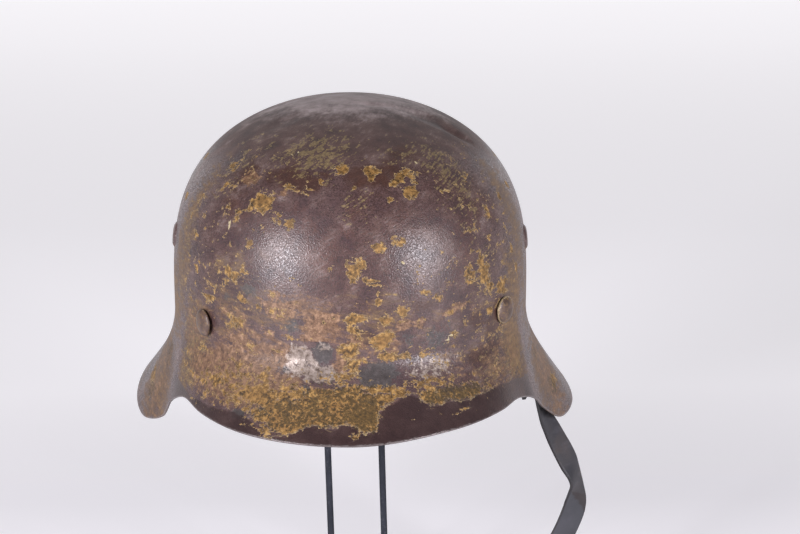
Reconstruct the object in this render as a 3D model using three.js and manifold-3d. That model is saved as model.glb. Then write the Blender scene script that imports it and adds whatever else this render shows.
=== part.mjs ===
// Military steel helmet on a plain rod stand.
// Millimetres, +Z up. The helmet faces -Y, and +X is on the right for someone who looks at its front.
// The origin is on the ground, under the middle of the stand's base.

import * as THREE from 'three';
import { LoftGeometry } from 'three/addons/geometries/LoftGeometry.js';
import { mergeVertices } from 'three/addons/utils/BufferGeometryUtils.js';
import Module from 'manifold-3d';

const wasm = await Module();
wasm.setup();

// Bowl. Heights on the helmet are measured from the middle of the visor's lip.
const LIP_HEIGHT = 162;
const CROWN_HEIGHT = 138.2;
const HALF_WIDTH = 95;
const HALF_LENGTH_FRONT = 112;
const HALF_LENGTH_BACK = 110;
const PLAN_POWER = 2.12;
const WALL_POWER = 3.37;
const STEEL = 1.2;
const CLEARANCE = 0.3;

// Flared skirt: visor, ear guards and neck guard. A row for each angle from the middle of the front
// to the middle of the back. The wall starts to flare at the waist, the flare is how far the rim
// then reaches out, and the rim is its height. Use has bent the two sides a little apart.
const SKIRT = [
  { angle: 0, waist: 34, flareRight: 30.3, flareLeft: 30.3, rimRight: 0, rimLeft: 0 },
  { angle: 20, waist: 34, flareRight: 26.2, flareLeft: 27.4, rimRight: 1.9, rimLeft: 0.6 },
  { angle: 38, waist: 33, flareRight: 15.5, flareLeft: 15.9, rimRight: -1, rimLeft: -0.7 },
  { angle: 50, waist: 31, flareRight: 10.1, flareLeft: 9.9, rimRight: -3.5, rimLeft: -1.1 },
  { angle: 60, waist: 30, flareRight: 11.1, flareLeft: 9.6, rimRight: -10.3, rimLeft: -9.8 },
  { angle: 70, waist: 29, flareRight: 12.4, flareLeft: 10.4, rimRight: -22.7, rimLeft: -25.4 },
  { angle: 82, waist: 29.5, flareRight: 20.6, flareLeft: 18.4, rimRight: -37, rimLeft: -34.8 },
  { angle: 98, waist: 26, flareRight: 31.5, flareLeft: 26.8, rimRight: -40, rimLeft: -36.4 },
  { angle: 125, waist: 20.5, flareRight: 36.3, flareLeft: 37.7, rimRight: -33, rimLeft: -31.5 },
  { angle: 180, waist: 20, flareRight: 37, flareLeft: 37, rimRight: -34, rimLeft: -34 },
];
const FLARE_START = 0.094;
const FLARE_BELLY_REACH = 0.296;
const FLARE_BELLY_HEIGHT = 0.557;

// Dents in the crown: the middle of each in plan, its size, its turn from +X and its depth.
const DENTS = [
  { name: 'long crease', x: 46, y: -17, length: 38, width: 14, turn: -16, depth: 2.4 },
  { name: 'crown crease', x: 13, y: -10, length: 28, width: 9, turn: 2, depth: 0.9 },
  { name: 'left dent', x: -34, y: -26, length: 26, width: 14, turn: 30, depth: 1.3 },
  { name: 'back dent', x: -24, y: 7, length: 24, width: 10, turn: -15, depth: 0.7 },
  { name: 'brow dimple', x: -48.5, y: -67, length: 15, width: 15, turn: 0, depth: 0.8 },
];

// Side vents: a raised collar pressed out of the wall, with a hole.
const VENTS = [
  { angle: 80, height: 66.5 },
  { angle: -80, height: 69.5 },
];
const VENT_WIDTH = 13;
const VENT_RISE = 2;
const VENT_LIP_WIDTH = 7;
const VENT_HOLE = 5;
const VENT_SIDES = 20;

// Split rivets: where each sits, and how far its head is lifted and tilted off the wall.
const RIVETS = [
  { name: 'rivet_front_left', angle: -44.7, height: 40, lift: 0.7, tilt: 5, lug: false },
  { name: 'rivet_front_right', angle: 48.2, height: 43.6, lift: 0, tilt: 0, lug: true },
  { name: 'rivet_back', angle: 180, height: 41, lift: 0, tilt: 0, lug: false },
];
const RIVET_HEAD = 14;
const RIVET_HEAD_EDGE = 0.7;
const RIVET_HEAD_RISE = 2.6;
const RIVET_SHANK = 4.6;
const RIVET_HOLE = 5.8;
const RIVET_SIDES = 20;
const RIVET_DOME_STEPS = 4;
const PRONG = { width: 4, reach: 11, thickness: 1 };

// Strap lug: a short steel band behind the right rivet, with a slotted tongue for the strap.
const LUG_STEEL = 1.5;
const LUG_GAP = 0.4;
const LUG_FROM = 40;
const LUG_TO = 92;
const LUG_LOW = 36.6;
const LUG_HIGH = 50.6;
const LUG_STEPS = 10;
const TONGUE = { angle: 80, reach: 92.25, width: 21, low: 9, high: 44 };
const SLOT = { width: 15.6, low: 14, high: 19.6 };

// Leather chin strap, from its sewn-back tail over the lug's bar and down to its free end.
// Each row is a point on its middle line and the way its width faces, turned from +X.
const STRAP_WIDTH = 14;
const STRAP_LEATHER = 2;
const STRAP = [
  { x: 94.6, y: -20, z: -24, face: 76 },
  { x: 92.3, y: -18.2, z: -10, face: 78 },
  { x: 89.6, y: -16.2, z: 4, face: 80 },
  { x: 88.4, y: -15.6, z: 13, face: 80 },
  { x: 89.2, y: -15.7, z: 15.9, face: 80 },
  { x: 90.9, y: -16, z: 16.9, face: 80 },
  { x: 92.5, y: -16.3, z: 15.9, face: 80 },
  { x: 93.3, y: -16.5, z: 13, face: 80 },
  { x: 93.9, y: -16.9, z: 4, face: 81 },
  { x: 95.6, y: -17.8, z: -6, face: 83 },
  { x: 98.7, y: -18.5, z: -16, face: 83 },
  { x: 101.3, y: -17.9, z: -23, face: 80 },
  { x: 103.6, y: -17.4, z: -30, face: 73 },
  { x: 106.5, y: -16.8, z: -37, face: 61 },
  { x: 109.9, y: -16.3, z: -44, face: 52 },
  { x: 113.3, y: -15.7, z: -51, face: 46 },
  { x: 116.9, y: -15.2, z: -58, face: 42 },
  { x: 120.3, y: -14.8, z: -65, face: 44 },
  { x: 123, y: -14.6, z: -71, face: 57 },
  { x: 124.5, y: -14.5, z: -76, face: 61 },
  { x: 124.8, y: -14.3, z: -80, face: 53 },
  { x: 124.8, y: -14.2, z: -84, face: 41 },
  { x: 124.7, y: -14.1, z: -88, face: 28 },
  { x: 124.1, y: -13.9, z: -93, face: 19 },
  { x: 122.4, y: -13.8, z: -99, face: 15 },
  { x: 119.4, y: -13.5, z: -107, face: 14 },
  { x: 115.3, y: -13.3, z: -116, face: 14 },
  { x: 111.4, y: -13, z: -125, face: 14 },
];
const STRAP_TIP_WIDTH = 9;
// Corners of the strap's section, as shares of its half width and half thickness.
const STRAP_SECTION = [
  [-1, -0.5], [-0.94, -1], [0.94, -1], [1, -0.5],
  [1, 0.5], [0.94, 1], [-0.94, 1], [-1, 0.5],
];

// Stand: two rods that lean a little, a domed saddle under the crown and a flat base.
const BASE = { width: 150, depth: 120, height: 6, corner: 8, bevel: 0.8 };
const ROD_WIDTH = 3.7;
const ROD_SPACING = 30.2;
const ROD_FOOT_X = 3.9;
const ROD_LEAN = -1.38;
const ROD_SEAT = 4.5;
const SADDLE_STEEL = 3;
const SADDLE_DROP = 1.4;
const SADDLE_BOW = 2;
const SADDLE_EDGE = 0.13;
const SADDLE_SIDES = 28;
const SOCKET_WIDTH = 9;
const SOCKET_LENGTH = 16;

const AROUND = 72;
const DOME_ROWS = 15;
const FLARE_ROWS = 7;
const CROWN_RING = 0.03;
const SIDE_CROWDING = 0.175;

const radians = THREE.MathUtils.degToRad;

// Solids: a closed geometry with its corners merged and its flat slivers left out, and the same as
// something to join and cut.
function weld(geometry) {
  const bare = new THREE.BufferGeometry();
  bare.setAttribute('position', geometry.attributes.position.clone());
  bare.setIndex(geometry.index);
  const merged = mergeVertices(bare);
  const corners = merged.index.array;
  const kept = [];
  for (let i = 0; i < corners.length; i += 3) {
    const [a, b, c] = corners.slice(i, i + 3);
    if (a !== b && b !== c && c !== a) {
      kept.push(a, b, c);
    }
  }
  return merged.setIndex(kept);
}

function solid(geometry, place = new THREE.Matrix4()) {
  const closed = weld(geometry).applyMatrix4(place);
  const mesh = new wasm.Mesh({
    numProp: 3,
    vertProperties: new Float32Array(closed.attributes.position.array),
    triVerts: new Uint32Array(closed.index.array),
  });
  return new wasm.Manifold(mesh);
}

function geometryOf(body) {
  const { vertProperties, triVerts } = body.getMesh();
  const geometry = new THREE.BufferGeometry();
  geometry.setAttribute('position', new THREE.BufferAttribute(vertProperties, 3));
  geometry.setIndex(new THREE.BufferAttribute(triVerts, 1));
  return geometry;
}

// Round bar along Z between two heights, and a block between two corners.
function roundBar(width, low, high, sides = 16) {
  const bar = new THREE.CylinderGeometry(width / 2, width / 2, high - low, sides);
  return bar.rotateX(Math.PI / 2).translate(0, 0, (low + high) / 2);
}

function block(low, high) {
  const size = high.clone().sub(low);
  const middle = low.clone().add(high).multiplyScalar(0.5);
  return new THREE.BoxGeometry(size.x, size.y, size.z).translate(middle.x, middle.y, middle.z);
}

// A turned piece: its half outline runs from the axis back to the axis.
function turned(outline, sides) {
  const points = outline.map(([radius, height]) => new THREE.Vector2(radius, height));
  return new THREE.LatheGeometry(points, sides).rotateX(Math.PI / 2);
}

// Skirt sizes at any angle, on a smooth curve through the table's rows.
function slopeAt(column, row) {
  if (row === 0 || row === SKIRT.length - 1) {
    return 0;
  }
  const before = SKIRT[row].angle - SKIRT[row - 1].angle;
  const after = SKIRT[row + 1].angle - SKIRT[row].angle;
  const slopeBefore = (SKIRT[row][column] - SKIRT[row - 1][column]) / before;
  const slopeAfter = (SKIRT[row + 1][column] - SKIRT[row][column]) / after;
  return (slopeBefore * after + slopeAfter * before) / (before + after);
}

function skirtValue(column, angle) {
  const last = SKIRT.length - 2;
  const row = Math.min(last, SKIRT.findIndex((entry, i) => i > last || SKIRT[i + 1].angle >= angle));
  const span = SKIRT[row + 1].angle - SKIRT[row].angle;
  const t = (angle - SKIRT[row].angle) / span;
  const from = SKIRT[row][column];
  const to = SKIRT[row + 1][column];
  const leave = slopeAt(column, row) * span;
  const arrive = slopeAt(column, row + 1) * span;
  const bend = 2 * from - 2 * to + leave + arrive;
  const rise = 3 * to - 3 * from - 2 * leave - arrive;
  return ((bend * t + rise) * t + leave) * t + from;
}

function skirtAt(angle) {
  const turn = THREE.MathUtils.euclideanModulo(THREE.MathUtils.radToDeg(angle) + 180, 360) - 180;
  const side = turn < 0 ? 'Left' : 'Right';
  return {
    waist: skirtValue('waist', Math.abs(turn)),
    flare: skirtValue(`flare${side}`, Math.abs(turn)),
    rim: skirtValue(`rim${side}`, Math.abs(turn)),
  };
}

// The bowl's plan is a squared ellipse.
function planRadius(angle) {
  const halfLength = Math.cos(angle) > 0 ? HALF_LENGTH_FRONT : HALF_LENGTH_BACK;
  const across = Math.abs(Math.sin(angle)) / HALF_WIDTH;
  const along = Math.abs(Math.cos(angle)) / halfLength;
  return (across ** PLAN_POWER + along ** PLAN_POWER) ** (-1 / PLAN_POWER);
}

// Point on the bowl's outside without its dents. The run is 0 at the crown, 1 at the waist and 2 at
// the rim, and the angle is 0 at the front and grows towards +X.
function bowlPoint(angle, run) {
  const radius = planRadius(angle);
  const { waist, flare, rim } = skirtAt(angle);
  const profile = new THREE.Vector2();
  if (run <= 1) {
    const lean = (Math.PI / 2) * (1 - (1 - run) ** (WALL_POWER / 2));
    const rise = Math.max(0, Math.cos(lean)) ** (2 / WALL_POWER);
    profile.set(radius * Math.sin(lean), waist + (CROWN_HEIGHT - waist) * rise);
  } else {
    const drop = waist - rim;
    const curve = new THREE.CubicBezierCurve(
      new THREE.Vector2(radius, waist),
      new THREE.Vector2(radius, waist - FLARE_START * drop),
      new THREE.Vector2(radius + FLARE_BELLY_REACH * flare, rim + FLARE_BELLY_HEIGHT * drop),
      new THREE.Vector2(radius + flare, rim),
    );
    curve.getPoint(run - 1, profile);
  }
  return new THREE.Vector3(profile.x * Math.sin(angle), -profile.x * Math.cos(angle), profile.y);
}

function bowlNormal(angle, run) {
  if (run === 0) {
    return new THREE.Vector3(0, 0, 1);
  }
  const step = 1e-3;
  const around = bowlPoint(angle + step, run).sub(bowlPoint(angle - step, run));
  const down = bowlPoint(angle, Math.min(2, run + step)).sub(bowlPoint(angle, run - step));
  return down.cross(around).normalize();
}

function dentDepth(point) {
  let depth = 0;
  for (const dent of DENTS) {
    const turn = radians(dent.turn);
    const x = point.x - dent.x;
    const y = point.y - dent.y;
    const along = (x * Math.cos(turn) + y * Math.sin(turn)) / (dent.length / 2);
    const across = (y * Math.cos(turn) - x * Math.sin(turn)) / (dent.width / 2);
    const nearness = Math.max(0, 1 - along * along - across * across);
    depth += point.z > 0 ? dent.depth * nearness * nearness : 0;
  }
  return depth;
}

// Point at a depth under the bowl's outer skin.
function skinPoint(angle, run, depth, dented = true) {
  const point = bowlPoint(angle, run);
  const dent = dented ? dentDepth(point) : 0;
  return point.addScaledVector(bowlNormal(angle, run), -depth - dent);
}

function runAtHeight(angle, height) {
  let above = 0;
  let below = 2;
  for (let i = 0; i < 40; i += 1) {
    const middle = (above + below) / 2;
    if (bowlPoint(angle, middle).z > height) {
      above = middle;
    } else {
      below = middle;
    }
  }
  return above;
}

// Place on the wall: X is level, Y climbs the wall and Z points out of it.
function wallPlace(angleDegrees, height) {
  const angle = radians(angleDegrees);
  const run = runAtHeight(angle, height);
  const out = bowlNormal(angle, run);
  const level = new THREE.Vector3(0, 0, 1).cross(out).normalize();
  const climb = out.clone().cross(level);
  return new THREE.Matrix4().makeBasis(level, climb, out).setPosition(bowlPoint(angle, run));
}

// Ring of points round the bowl at one run and depth, closer together at the sides.
function ring(run, depth, count, dented) {
  const points = [];
  for (let i = 0; i < count; i += 1) {
    const even = (2 * Math.PI * i) / count;
    const angle = -even - SIDE_CROWDING * Math.sin(2 * even);
    points.push(skinPoint(angle, run, depth, dented));
  }
  return points;
}

// A shell between two depths: rings down the outside from the crown and up again on the inside.
function shellBetween(runs, outer, inner, count, dented) {
  const outside = runs.map((run) => ring(run, outer, count, dented));
  const inside = runs.map((run) => ring(run, inner, count, dented)).reverse();
  return new LoftGeometry([...outside, ...inside]);
}

// Helmet shell: one pressed bowl with its two vents and three rivet holes.
function helmetShell() {
  const runs = [0, CROWN_RING];
  for (let i = 1; i <= DOME_ROWS; i += 1) {
    runs.push(i / DOME_ROWS);
  }
  for (let i = 1; i <= FLARE_ROWS; i += 1) {
    runs.push(1 + i / FLARE_ROWS);
  }
  let shell = solid(shellBetween(runs, 0, STEEL, AROUND, true));
  const collar = turned([
    [0, -STEEL / 2],
    [VENT_WIDTH / 2, -STEEL / 2],
    [VENT_WIDTH / 2 - 0.4, VENT_RISE * 0.3],
    [VENT_LIP_WIDTH / 2 + 0.8, VENT_RISE * 0.85],
    [VENT_LIP_WIDTH / 2, VENT_RISE],
    [0, VENT_RISE],
  ], VENT_SIDES);
  for (const { angle, height } of VENTS) {
    const place = wallPlace(angle, height);
    shell = shell.add(solid(collar, place));
    shell = shell.subtract(solid(roundBar(VENT_HOLE, -4 * STEEL, 2 * VENT_RISE), place));
  }
  for (const { angle, height } of RIVETS) {
    const hole = roundBar(RIVET_HOLE, -4 * STEEL, 4 * STEEL);
    shell = shell.subtract(solid(hole, wallPlace(angle, height)));
  }
  return geometryOf(shell);
}

// Rivet along Z, with its domed head outside and its two prongs bent flat inside.
function rivet(grip) {
  const back = -grip - 2 * CLEARANCE - PRONG.thickness;
  const outline = [
    [0, back],
    [RIVET_SHANK / 2, back],
    [RIVET_SHANK / 2, CLEARANCE],
    [RIVET_HEAD / 2, CLEARANCE],
    [RIVET_HEAD / 2, CLEARANCE + RIVET_HEAD_EDGE],
  ];
  for (let i = 1; i <= RIVET_DOME_STEPS; i += 1) {
    const bend = (Math.PI / 2) * (i / RIVET_DOME_STEPS);
    const rise = CLEARANCE + RIVET_HEAD_EDGE + (RIVET_HEAD_RISE - RIVET_HEAD_EDGE) * Math.sin(bend);
    outline.push([i === RIVET_DOME_STEPS ? 0 : (RIVET_HEAD / 2) * Math.cos(bend), rise]);
  }
  const prongs = block(
    new THREE.Vector3(-PRONG.width / 2, -PRONG.reach, back),
    new THREE.Vector3(PRONG.width / 2, PRONG.reach, back + PRONG.thickness),
  );
  return geometryOf(solid(turned(outline, RIVET_SIDES)).add(solid(prongs)));
}

// Lug: a band that follows the inside of the wall, with a flat tongue hanging from it.
function strapLug() {
  const near = STEEL + LUG_GAP;
  const far = near + LUG_STEEL;
  const sections = [];
  for (let i = 0; i <= LUG_STEPS; i += 1) {
    const angle = radians(THREE.MathUtils.lerp(LUG_FROM, LUG_TO, i / LUG_STEPS));
    const low = runAtHeight(angle, LUG_LOW);
    const high = runAtHeight(angle, LUG_HIGH);
    sections.push([
      skinPoint(angle, low, near),
      skinPoint(angle, high, near),
      skinPoint(angle, high, far),
      skinPoint(angle, low, far),
    ].reverse());
  }
  const band = solid(new LoftGeometry(sections, { capStart: true, capEnd: true }));
  const tongue = block(
    new THREE.Vector3(-TONGUE.width / 2, TONGUE.reach - LUG_STEEL / 2, TONGUE.low),
    new THREE.Vector3(TONGUE.width / 2, TONGUE.reach + LUG_STEEL / 2, TONGUE.high),
  );
  const slot = block(
    new THREE.Vector3(-SLOT.width / 2, TONGUE.reach - 2 * LUG_STEEL, SLOT.low),
    new THREE.Vector3(SLOT.width / 2, TONGUE.reach + 2 * LUG_STEEL, SLOT.high),
  );
  const swing = new THREE.Matrix4().makeRotationZ(radians(TONGUE.angle - 180));
  const right = RIVETS.find((entry) => entry.lug);
  const hole = solid(roundBar(RIVET_HOLE, -8 * STEEL, STEEL), wallPlace(right.angle, right.height));
  return geometryOf(band.add(solid(tongue, swing)).subtract(solid(slot, swing)).subtract(hole));
}

// Strap: a flat section carried along the table's rows, pointed a little at its free end.
function chinStrap() {
  const middle = STRAP.map(({ x, y, z }) => new THREE.Vector3(x, y, z));
  const last = STRAP.length - 1;
  const sections = STRAP.map((row, i) => {
    const ahead = middle[Math.min(last, i + 1)].clone().sub(middle[Math.max(0, i - 1)]).normalize();
    const level = new THREE.Vector3(Math.cos(radians(row.face)), Math.sin(radians(row.face)), 0);
    const across = level.addScaledVector(ahead, -level.dot(ahead)).normalize();
    const through = ahead.clone().cross(across);
    const halfWidth = (i === last ? STRAP_TIP_WIDTH : STRAP_WIDTH) / 2;
    const halfLeather = STRAP_LEATHER / 2;
    return STRAP_SECTION.map(([a, t]) => middle[i].clone()
      .addScaledVector(across, a * halfWidth)
      .addScaledVector(through, t * halfLeather));
  });
  return weld(new LoftGeometry(sections, { capStart: true, capEnd: true }));
}

// Stand pieces. A rod's own Z runs up from where it meets the ground line.
function rodPlace(side) {
  const foot = new THREE.Vector3(ROD_FOOT_X + side * ROD_SPACING / 2, 0, 0);
  return new THREE.Matrix4().makeRotationY(radians(ROD_LEAN)).setPosition(foot);
}

const saddleDepth = STEEL + CLEARANCE + SADDLE_DROP;
const rodTop = LIP_HEIGHT + CROWN_HEIGHT - saddleDepth - SADDLE_STEEL - SADDLE_BOW;

function standBase() {
  const x = BASE.width / 2;
  const y = BASE.depth / 2;
  const outline = new THREE.Shape();
  outline.moveTo(-x + BASE.corner, -y);
  outline.lineTo(x - BASE.corner, -y);
  outline.absarc(x - BASE.corner, -y + BASE.corner, BASE.corner, -Math.PI / 2, 0);
  outline.lineTo(x, y - BASE.corner);
  outline.absarc(x - BASE.corner, y - BASE.corner, BASE.corner, 0, Math.PI / 2);
  outline.lineTo(-x + BASE.corner, y);
  outline.absarc(-x + BASE.corner, y - BASE.corner, BASE.corner, Math.PI / 2, Math.PI);
  outline.lineTo(-x, -y + BASE.corner);
  outline.absarc(-x + BASE.corner, -y + BASE.corner, BASE.corner, Math.PI, Math.PI * 1.5);
  const plate = new THREE.ExtrudeGeometry(outline, {
    depth: BASE.height - 2 * BASE.bevel,
    curveSegments: 4,
    bevelThickness: BASE.bevel,
    bevelSize: BASE.bevel,
    bevelOffset: -BASE.bevel,
    bevelSegments: 1,
  }).translate(0, 0, BASE.bevel);
  const hole = roundBar(ROD_WIDTH + 2 * CLEARANCE, BASE.height - ROD_SEAT, 2 * BASE.height);
  return geometryOf(solid(plate).subtract(solid(hole, rodPlace(-1))).subtract(solid(hole, rodPlace(1))));
}

function standRod() {
  return weld(roundBar(ROD_WIDTH, BASE.height - ROD_SEAT + CLEARANCE, rodTop - CLEARANCE));
}

function standSaddle() {
  const runs = [0, SADDLE_EDGE / 3, SADDLE_EDGE * 2 / 3, SADDLE_EDGE];
  const plate = shellBetween(runs, saddleDepth, saddleDepth + SADDLE_STEEL, SADDLE_SIDES, false);
  let saddle = solid(plate, new THREE.Matrix4().makeTranslation(0, 0, LIP_HEIGHT));
  const socket = roundBar(SOCKET_WIDTH, rodTop - SOCKET_LENGTH, rodTop + SADDLE_STEEL / 2);
  const bore = roundBar(ROD_WIDTH + 2 * CLEARANCE, rodTop - 2 * SOCKET_LENGTH, rodTop);
  for (const side of [-1, 1]) {
    saddle = saddle.add(solid(socket, rodPlace(side)));
  }
  for (const side of [-1, 1]) {
    saddle = saddle.subtract(solid(bore, rodPlace(side)));
  }
  return geometryOf(saddle);
}

function piece(name, geometry, color, roughness, metalness) {
  const mesh = new THREE.Mesh(geometry, new THREE.MeshStandardMaterial({ color, roughness, metalness }));
  mesh.name = name;
  return mesh;
}

const patinated = ['#66514b', 0.5, 0.4];
const rivetSteel = ['#6b5748', 0.55, 0.5];
const lugSteel = ['#4d443f', 0.55, 0.7];
const leather = ['#57504f', 0.65, 0];
const blackened = ['#3f4149', 0.45, 0.5];

const helmet = new THREE.Group();
helmet.position.z = LIP_HEIGHT;
helmet.add(piece('helmet_shell', helmetShell(), ...patinated));
for (const { name, angle, height, lift, tilt, lug } of RIVETS) {
  const grip = lug ? STEEL + LUG_GAP + LUG_STEEL : STEEL;
  const mesh = piece(name, rivet(grip + lift), ...rivetSteel);
  const leaning = new THREE.Matrix4().makeRotationY(radians(tilt)).setPosition(0, 0, lift);
  mesh.applyMatrix4(wallPlace(angle, height).multiply(leaning));
  helmet.add(mesh);
}
helmet.add(piece('strap_lug', strapLug(), ...lugSteel));
helmet.add(piece('chin_strap', chinStrap(), ...leather));

const stand = new THREE.Group();
stand.add(piece('stand_base', standBase(), ...blackened));
for (const [name, side] of [['stand_rod_left', -1], ['stand_rod_right', 1]]) {
  const rod = piece(name, standRod(), ...blackened);
  rod.applyMatrix4(rodPlace(side));
  stand.add(rod);
}
stand.add(piece('stand_saddle', standSaddle(), ...blackened));

const part = new THREE.Group();
part.add(helmet, stand);

export default part;
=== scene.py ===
import math

import bpy
import numpy as np
from mathutils import Matrix, Vector


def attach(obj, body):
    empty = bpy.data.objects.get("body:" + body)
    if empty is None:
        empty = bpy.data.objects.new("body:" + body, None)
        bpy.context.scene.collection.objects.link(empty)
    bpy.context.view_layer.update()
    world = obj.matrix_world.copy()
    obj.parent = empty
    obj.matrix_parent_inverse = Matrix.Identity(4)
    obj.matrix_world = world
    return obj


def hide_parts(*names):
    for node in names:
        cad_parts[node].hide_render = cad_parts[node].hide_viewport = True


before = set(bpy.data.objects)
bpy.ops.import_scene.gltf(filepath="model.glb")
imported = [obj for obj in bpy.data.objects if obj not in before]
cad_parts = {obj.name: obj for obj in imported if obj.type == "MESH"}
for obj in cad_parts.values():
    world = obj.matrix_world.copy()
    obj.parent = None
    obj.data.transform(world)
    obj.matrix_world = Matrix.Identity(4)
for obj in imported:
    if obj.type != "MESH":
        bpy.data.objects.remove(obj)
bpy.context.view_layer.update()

# Camera: a metre in front of the helmet, looking down at it a little, as in the photograph.
# It is turned a little right and up from the helmet's middle, so the lens needs no shift.
MM = 0.001
IMAGE_WIDTH = 800
IMAGE_HEIGHT = 534
FOCAL_PIXELS = 1834
SENSOR_WIDTH = 36.0
AIM = Vector((0, 0, 197 * MM))
AIM_PIXEL_X = 350.55
AIM_PIXEL_Y = 284.45
VIEW_DISTANCE = 1000 * MM
VIEW_ELEVATION = 17.964
VIEW_AZIMUTH = -0.116


def toward(azimuth, elevation):
    """A direction in degrees: the azimuth goes from the front to the right, the elevation up."""
    azimuth = math.radians(azimuth)
    elevation = math.radians(elevation)
    level = math.cos(elevation)
    return Vector((math.sin(azimuth) * level, -math.cos(azimuth) * level, math.sin(elevation)))


to_eye = toward(VIEW_AZIMUTH, VIEW_ELEVATION)
view_right = (-to_eye).cross(Vector((0, 0, 1))).normalized()
view_up = view_right.cross(-to_eye)
pan = (IMAGE_WIDTH / 2 - AIM_PIXEL_X) / FOCAL_PIXELS
lift = (AIM_PIXEL_Y - IMAGE_HEIGHT / 2) / FOCAL_PIXELS
bpy.ops.object.camera_add(location=AIM + to_eye * VIEW_DISTANCE)
camera = bpy.context.object
camera.name = "camera"
camera.rotation_mode = "QUATERNION"
camera.rotation_quaternion = (view_right * pan + view_up * lift - to_eye).to_track_quat("-Z", "Y")
camera.data.sensor_width = SENSOR_WIDTH
camera.data.lens = SENSOR_WIDTH * FOCAL_PIXELS / IMAGE_WIDTH
bpy.context.scene.camera = camera

# Helmet shell: one bowl pressed from sheet steel, with a visor, ear guards and a neck guard.
# Its edge is raw, its crown is dented, and two vents are pressed out of its sides.
# Heights on it are millimetres above the middle of the visor's lip.
LIP_HEIGHT = 162
CROWN_HEIGHT = 138.2
HALF_WIDTH = 95
HALF_LENGTH_FRONT = 112
HALF_LENGTH_BACK = 110
PLAN_POWER = 2.12
WALL_POWER = 3.37
SHELL_STEEL = 1.2
SHELL_EDGE_ROUND = 0.35
SHELL_EDGE_ANGLE = 60
SHELL_CREASE = 50
SHELL_SIDES = 320
DOME_ROWS = 84
FLARE_ROWS = 48
CROWN_CROWDING = 1.3
# angle from the front, waist, flare on the right, on the left, rim on the right, on the left
SKIRT = (
    (0, 34, 30.3, 30.3, 0, 0),
    (20, 34, 26.2, 27.4, 1.9, 0.6),
    (38, 33, 15.5, 15.9, -1, -0.7),
    (50, 31, 10.1, 9.9, -3.5, -1.1),
    (60, 30, 11.1, 9.6, -10.3, -9.8),
    (70, 29, 12.4, 10.4, -22.7, -25.4),
    (82, 29.5, 20.6, 18.4, -37, -34.8),
    (98, 26, 31.5, 26.8, -40, -36.4),
    (125, 20.5, 36.3, 37.7, -33, -31.5),
    (180, 20, 37, 37, -34, -34),
)
SKIRT_WAIST = 1
SKIRT_FLARE = (2, 3)
SKIRT_RIM = (4, 5)
FLARE_START = 0.2
FLARE_BELLY_REACH = 0.296
FLARE_BELLY_HEIGHT = 0.557
# middle x, middle y, length, width, turn from +X, depth
DENTS = (
    (44, -16, 48, 24, -16, 1.5),
    (56, -20, 22, 13, -18, 1.5),
    (13, -10, 32, 12, 2, 1.0),
    (-34, -26, 32, 18, 30, 0.65),
    (-24, 7, 26, 12, -15, 0.4),
    (-48.5, -67, 15, 15, 0, 0.8),
)
# angle, height
VENTS = ((80, 66.5), (-80, 69.5))
VENT_CUT = 4.3
# radius, height over the wall
VENT_RING = (
    (6.9, -0.7), (6.6, 0.02), (6.3, 0.3), (5.7, 0.72), (4.8, 1.08), (3.9, 1.2), (3.2, 1.1), (2.7, 0.7),
    (2.5, 0.2), (2.5, -1.5), (3.2, -1.75), (6.4, -1.75), (6.9, -1.4), (6.9, -0.7),
)
VENT_SIDES = 48
# the run down the outside is 0 at the crown, 1 at the waist and 2 at the rim
RIM_RUN = 2.0
# halvings that find a height on the wall
HALVINGS = 40
# a turned piece is closed by a ring of this radius, and rings this near each other become one
CLOSED = 0.01
MERGE_DISTANCE = 0.03


def skirt_curve(column, turn):
    """A column of the skirt's table at these turns from the front, on a smooth curve."""
    table = np.array(SKIRT, float)
    at = table[:, 0]
    value = table[:, column]
    span = np.diff(at)
    slope = np.diff(value) / span
    lean = np.zeros(len(at))
    lean[1:-1] = (slope[:-1] * span[1:] + slope[1:] * span[:-1]) / (span[:-1] + span[1:])
    row = np.clip(np.searchsorted(at, turn) - 1, 0, len(at) - 2)
    t = (turn - at[row]) / span[row]
    rise = value[row + 1] - value[row]
    leave = lean[row] * span[row]
    arrive = lean[row + 1] * span[row]
    bend = leave + arrive - 2 * rise
    return ((bend * t + 3 * rise - 2 * leave - arrive) * t + leave) * t + value[row]


def bowl(angle, run):
    """Points on the outside at these angles and runs."""
    turn = np.degrees(np.arctan2(np.sin(angle), np.cos(angle)))
    left = turn < 0
    turn = np.abs(turn)
    waist = skirt_curve(SKIRT_WAIST, turn)
    flare = np.where(left, skirt_curve(SKIRT_FLARE[1], turn), skirt_curve(SKIRT_FLARE[0], turn))
    rim = np.where(left, skirt_curve(SKIRT_RIM[1], turn), skirt_curve(SKIRT_RIM[0], turn))
    half_length = np.where(np.cos(angle) > 0, HALF_LENGTH_FRONT, HALF_LENGTH_BACK)
    across = np.abs(np.sin(angle)) / HALF_WIDTH
    along = np.abs(np.cos(angle)) / half_length
    radius = (across ** PLAN_POWER + along ** PLAN_POWER) ** (-1 / PLAN_POWER)
    lean = math.pi / 2 * (1 - (1 - np.minimum(run, 1)) ** (WALL_POWER / 2))
    dome_reach = radius * np.sin(lean)
    dome_height = waist + (CROWN_HEIGHT - waist) * np.clip(np.cos(lean), 0, 1) ** (2 / WALL_POWER)
    t = np.clip(run - 1, 0, 1)
    drop = waist - rim
    share = ((1 - t) ** 3, 3 * t * (1 - t) ** 2, 3 * t * t * (1 - t), t ** 3)
    flare_reach = radius + flare * (share[2] * FLARE_BELLY_REACH + share[3])
    flare_height = (
        share[0] * waist
        + share[1] * (waist - FLARE_START * drop)
        + share[2] * (rim + FLARE_BELLY_HEIGHT * drop)
        + share[3] * rim
    )
    reach = np.where(run > 1, flare_reach, dome_reach)
    height = np.where(run > 1, flare_height, dome_height)
    return np.stack([reach * np.sin(angle), -reach * np.cos(angle), height], -1)


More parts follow.
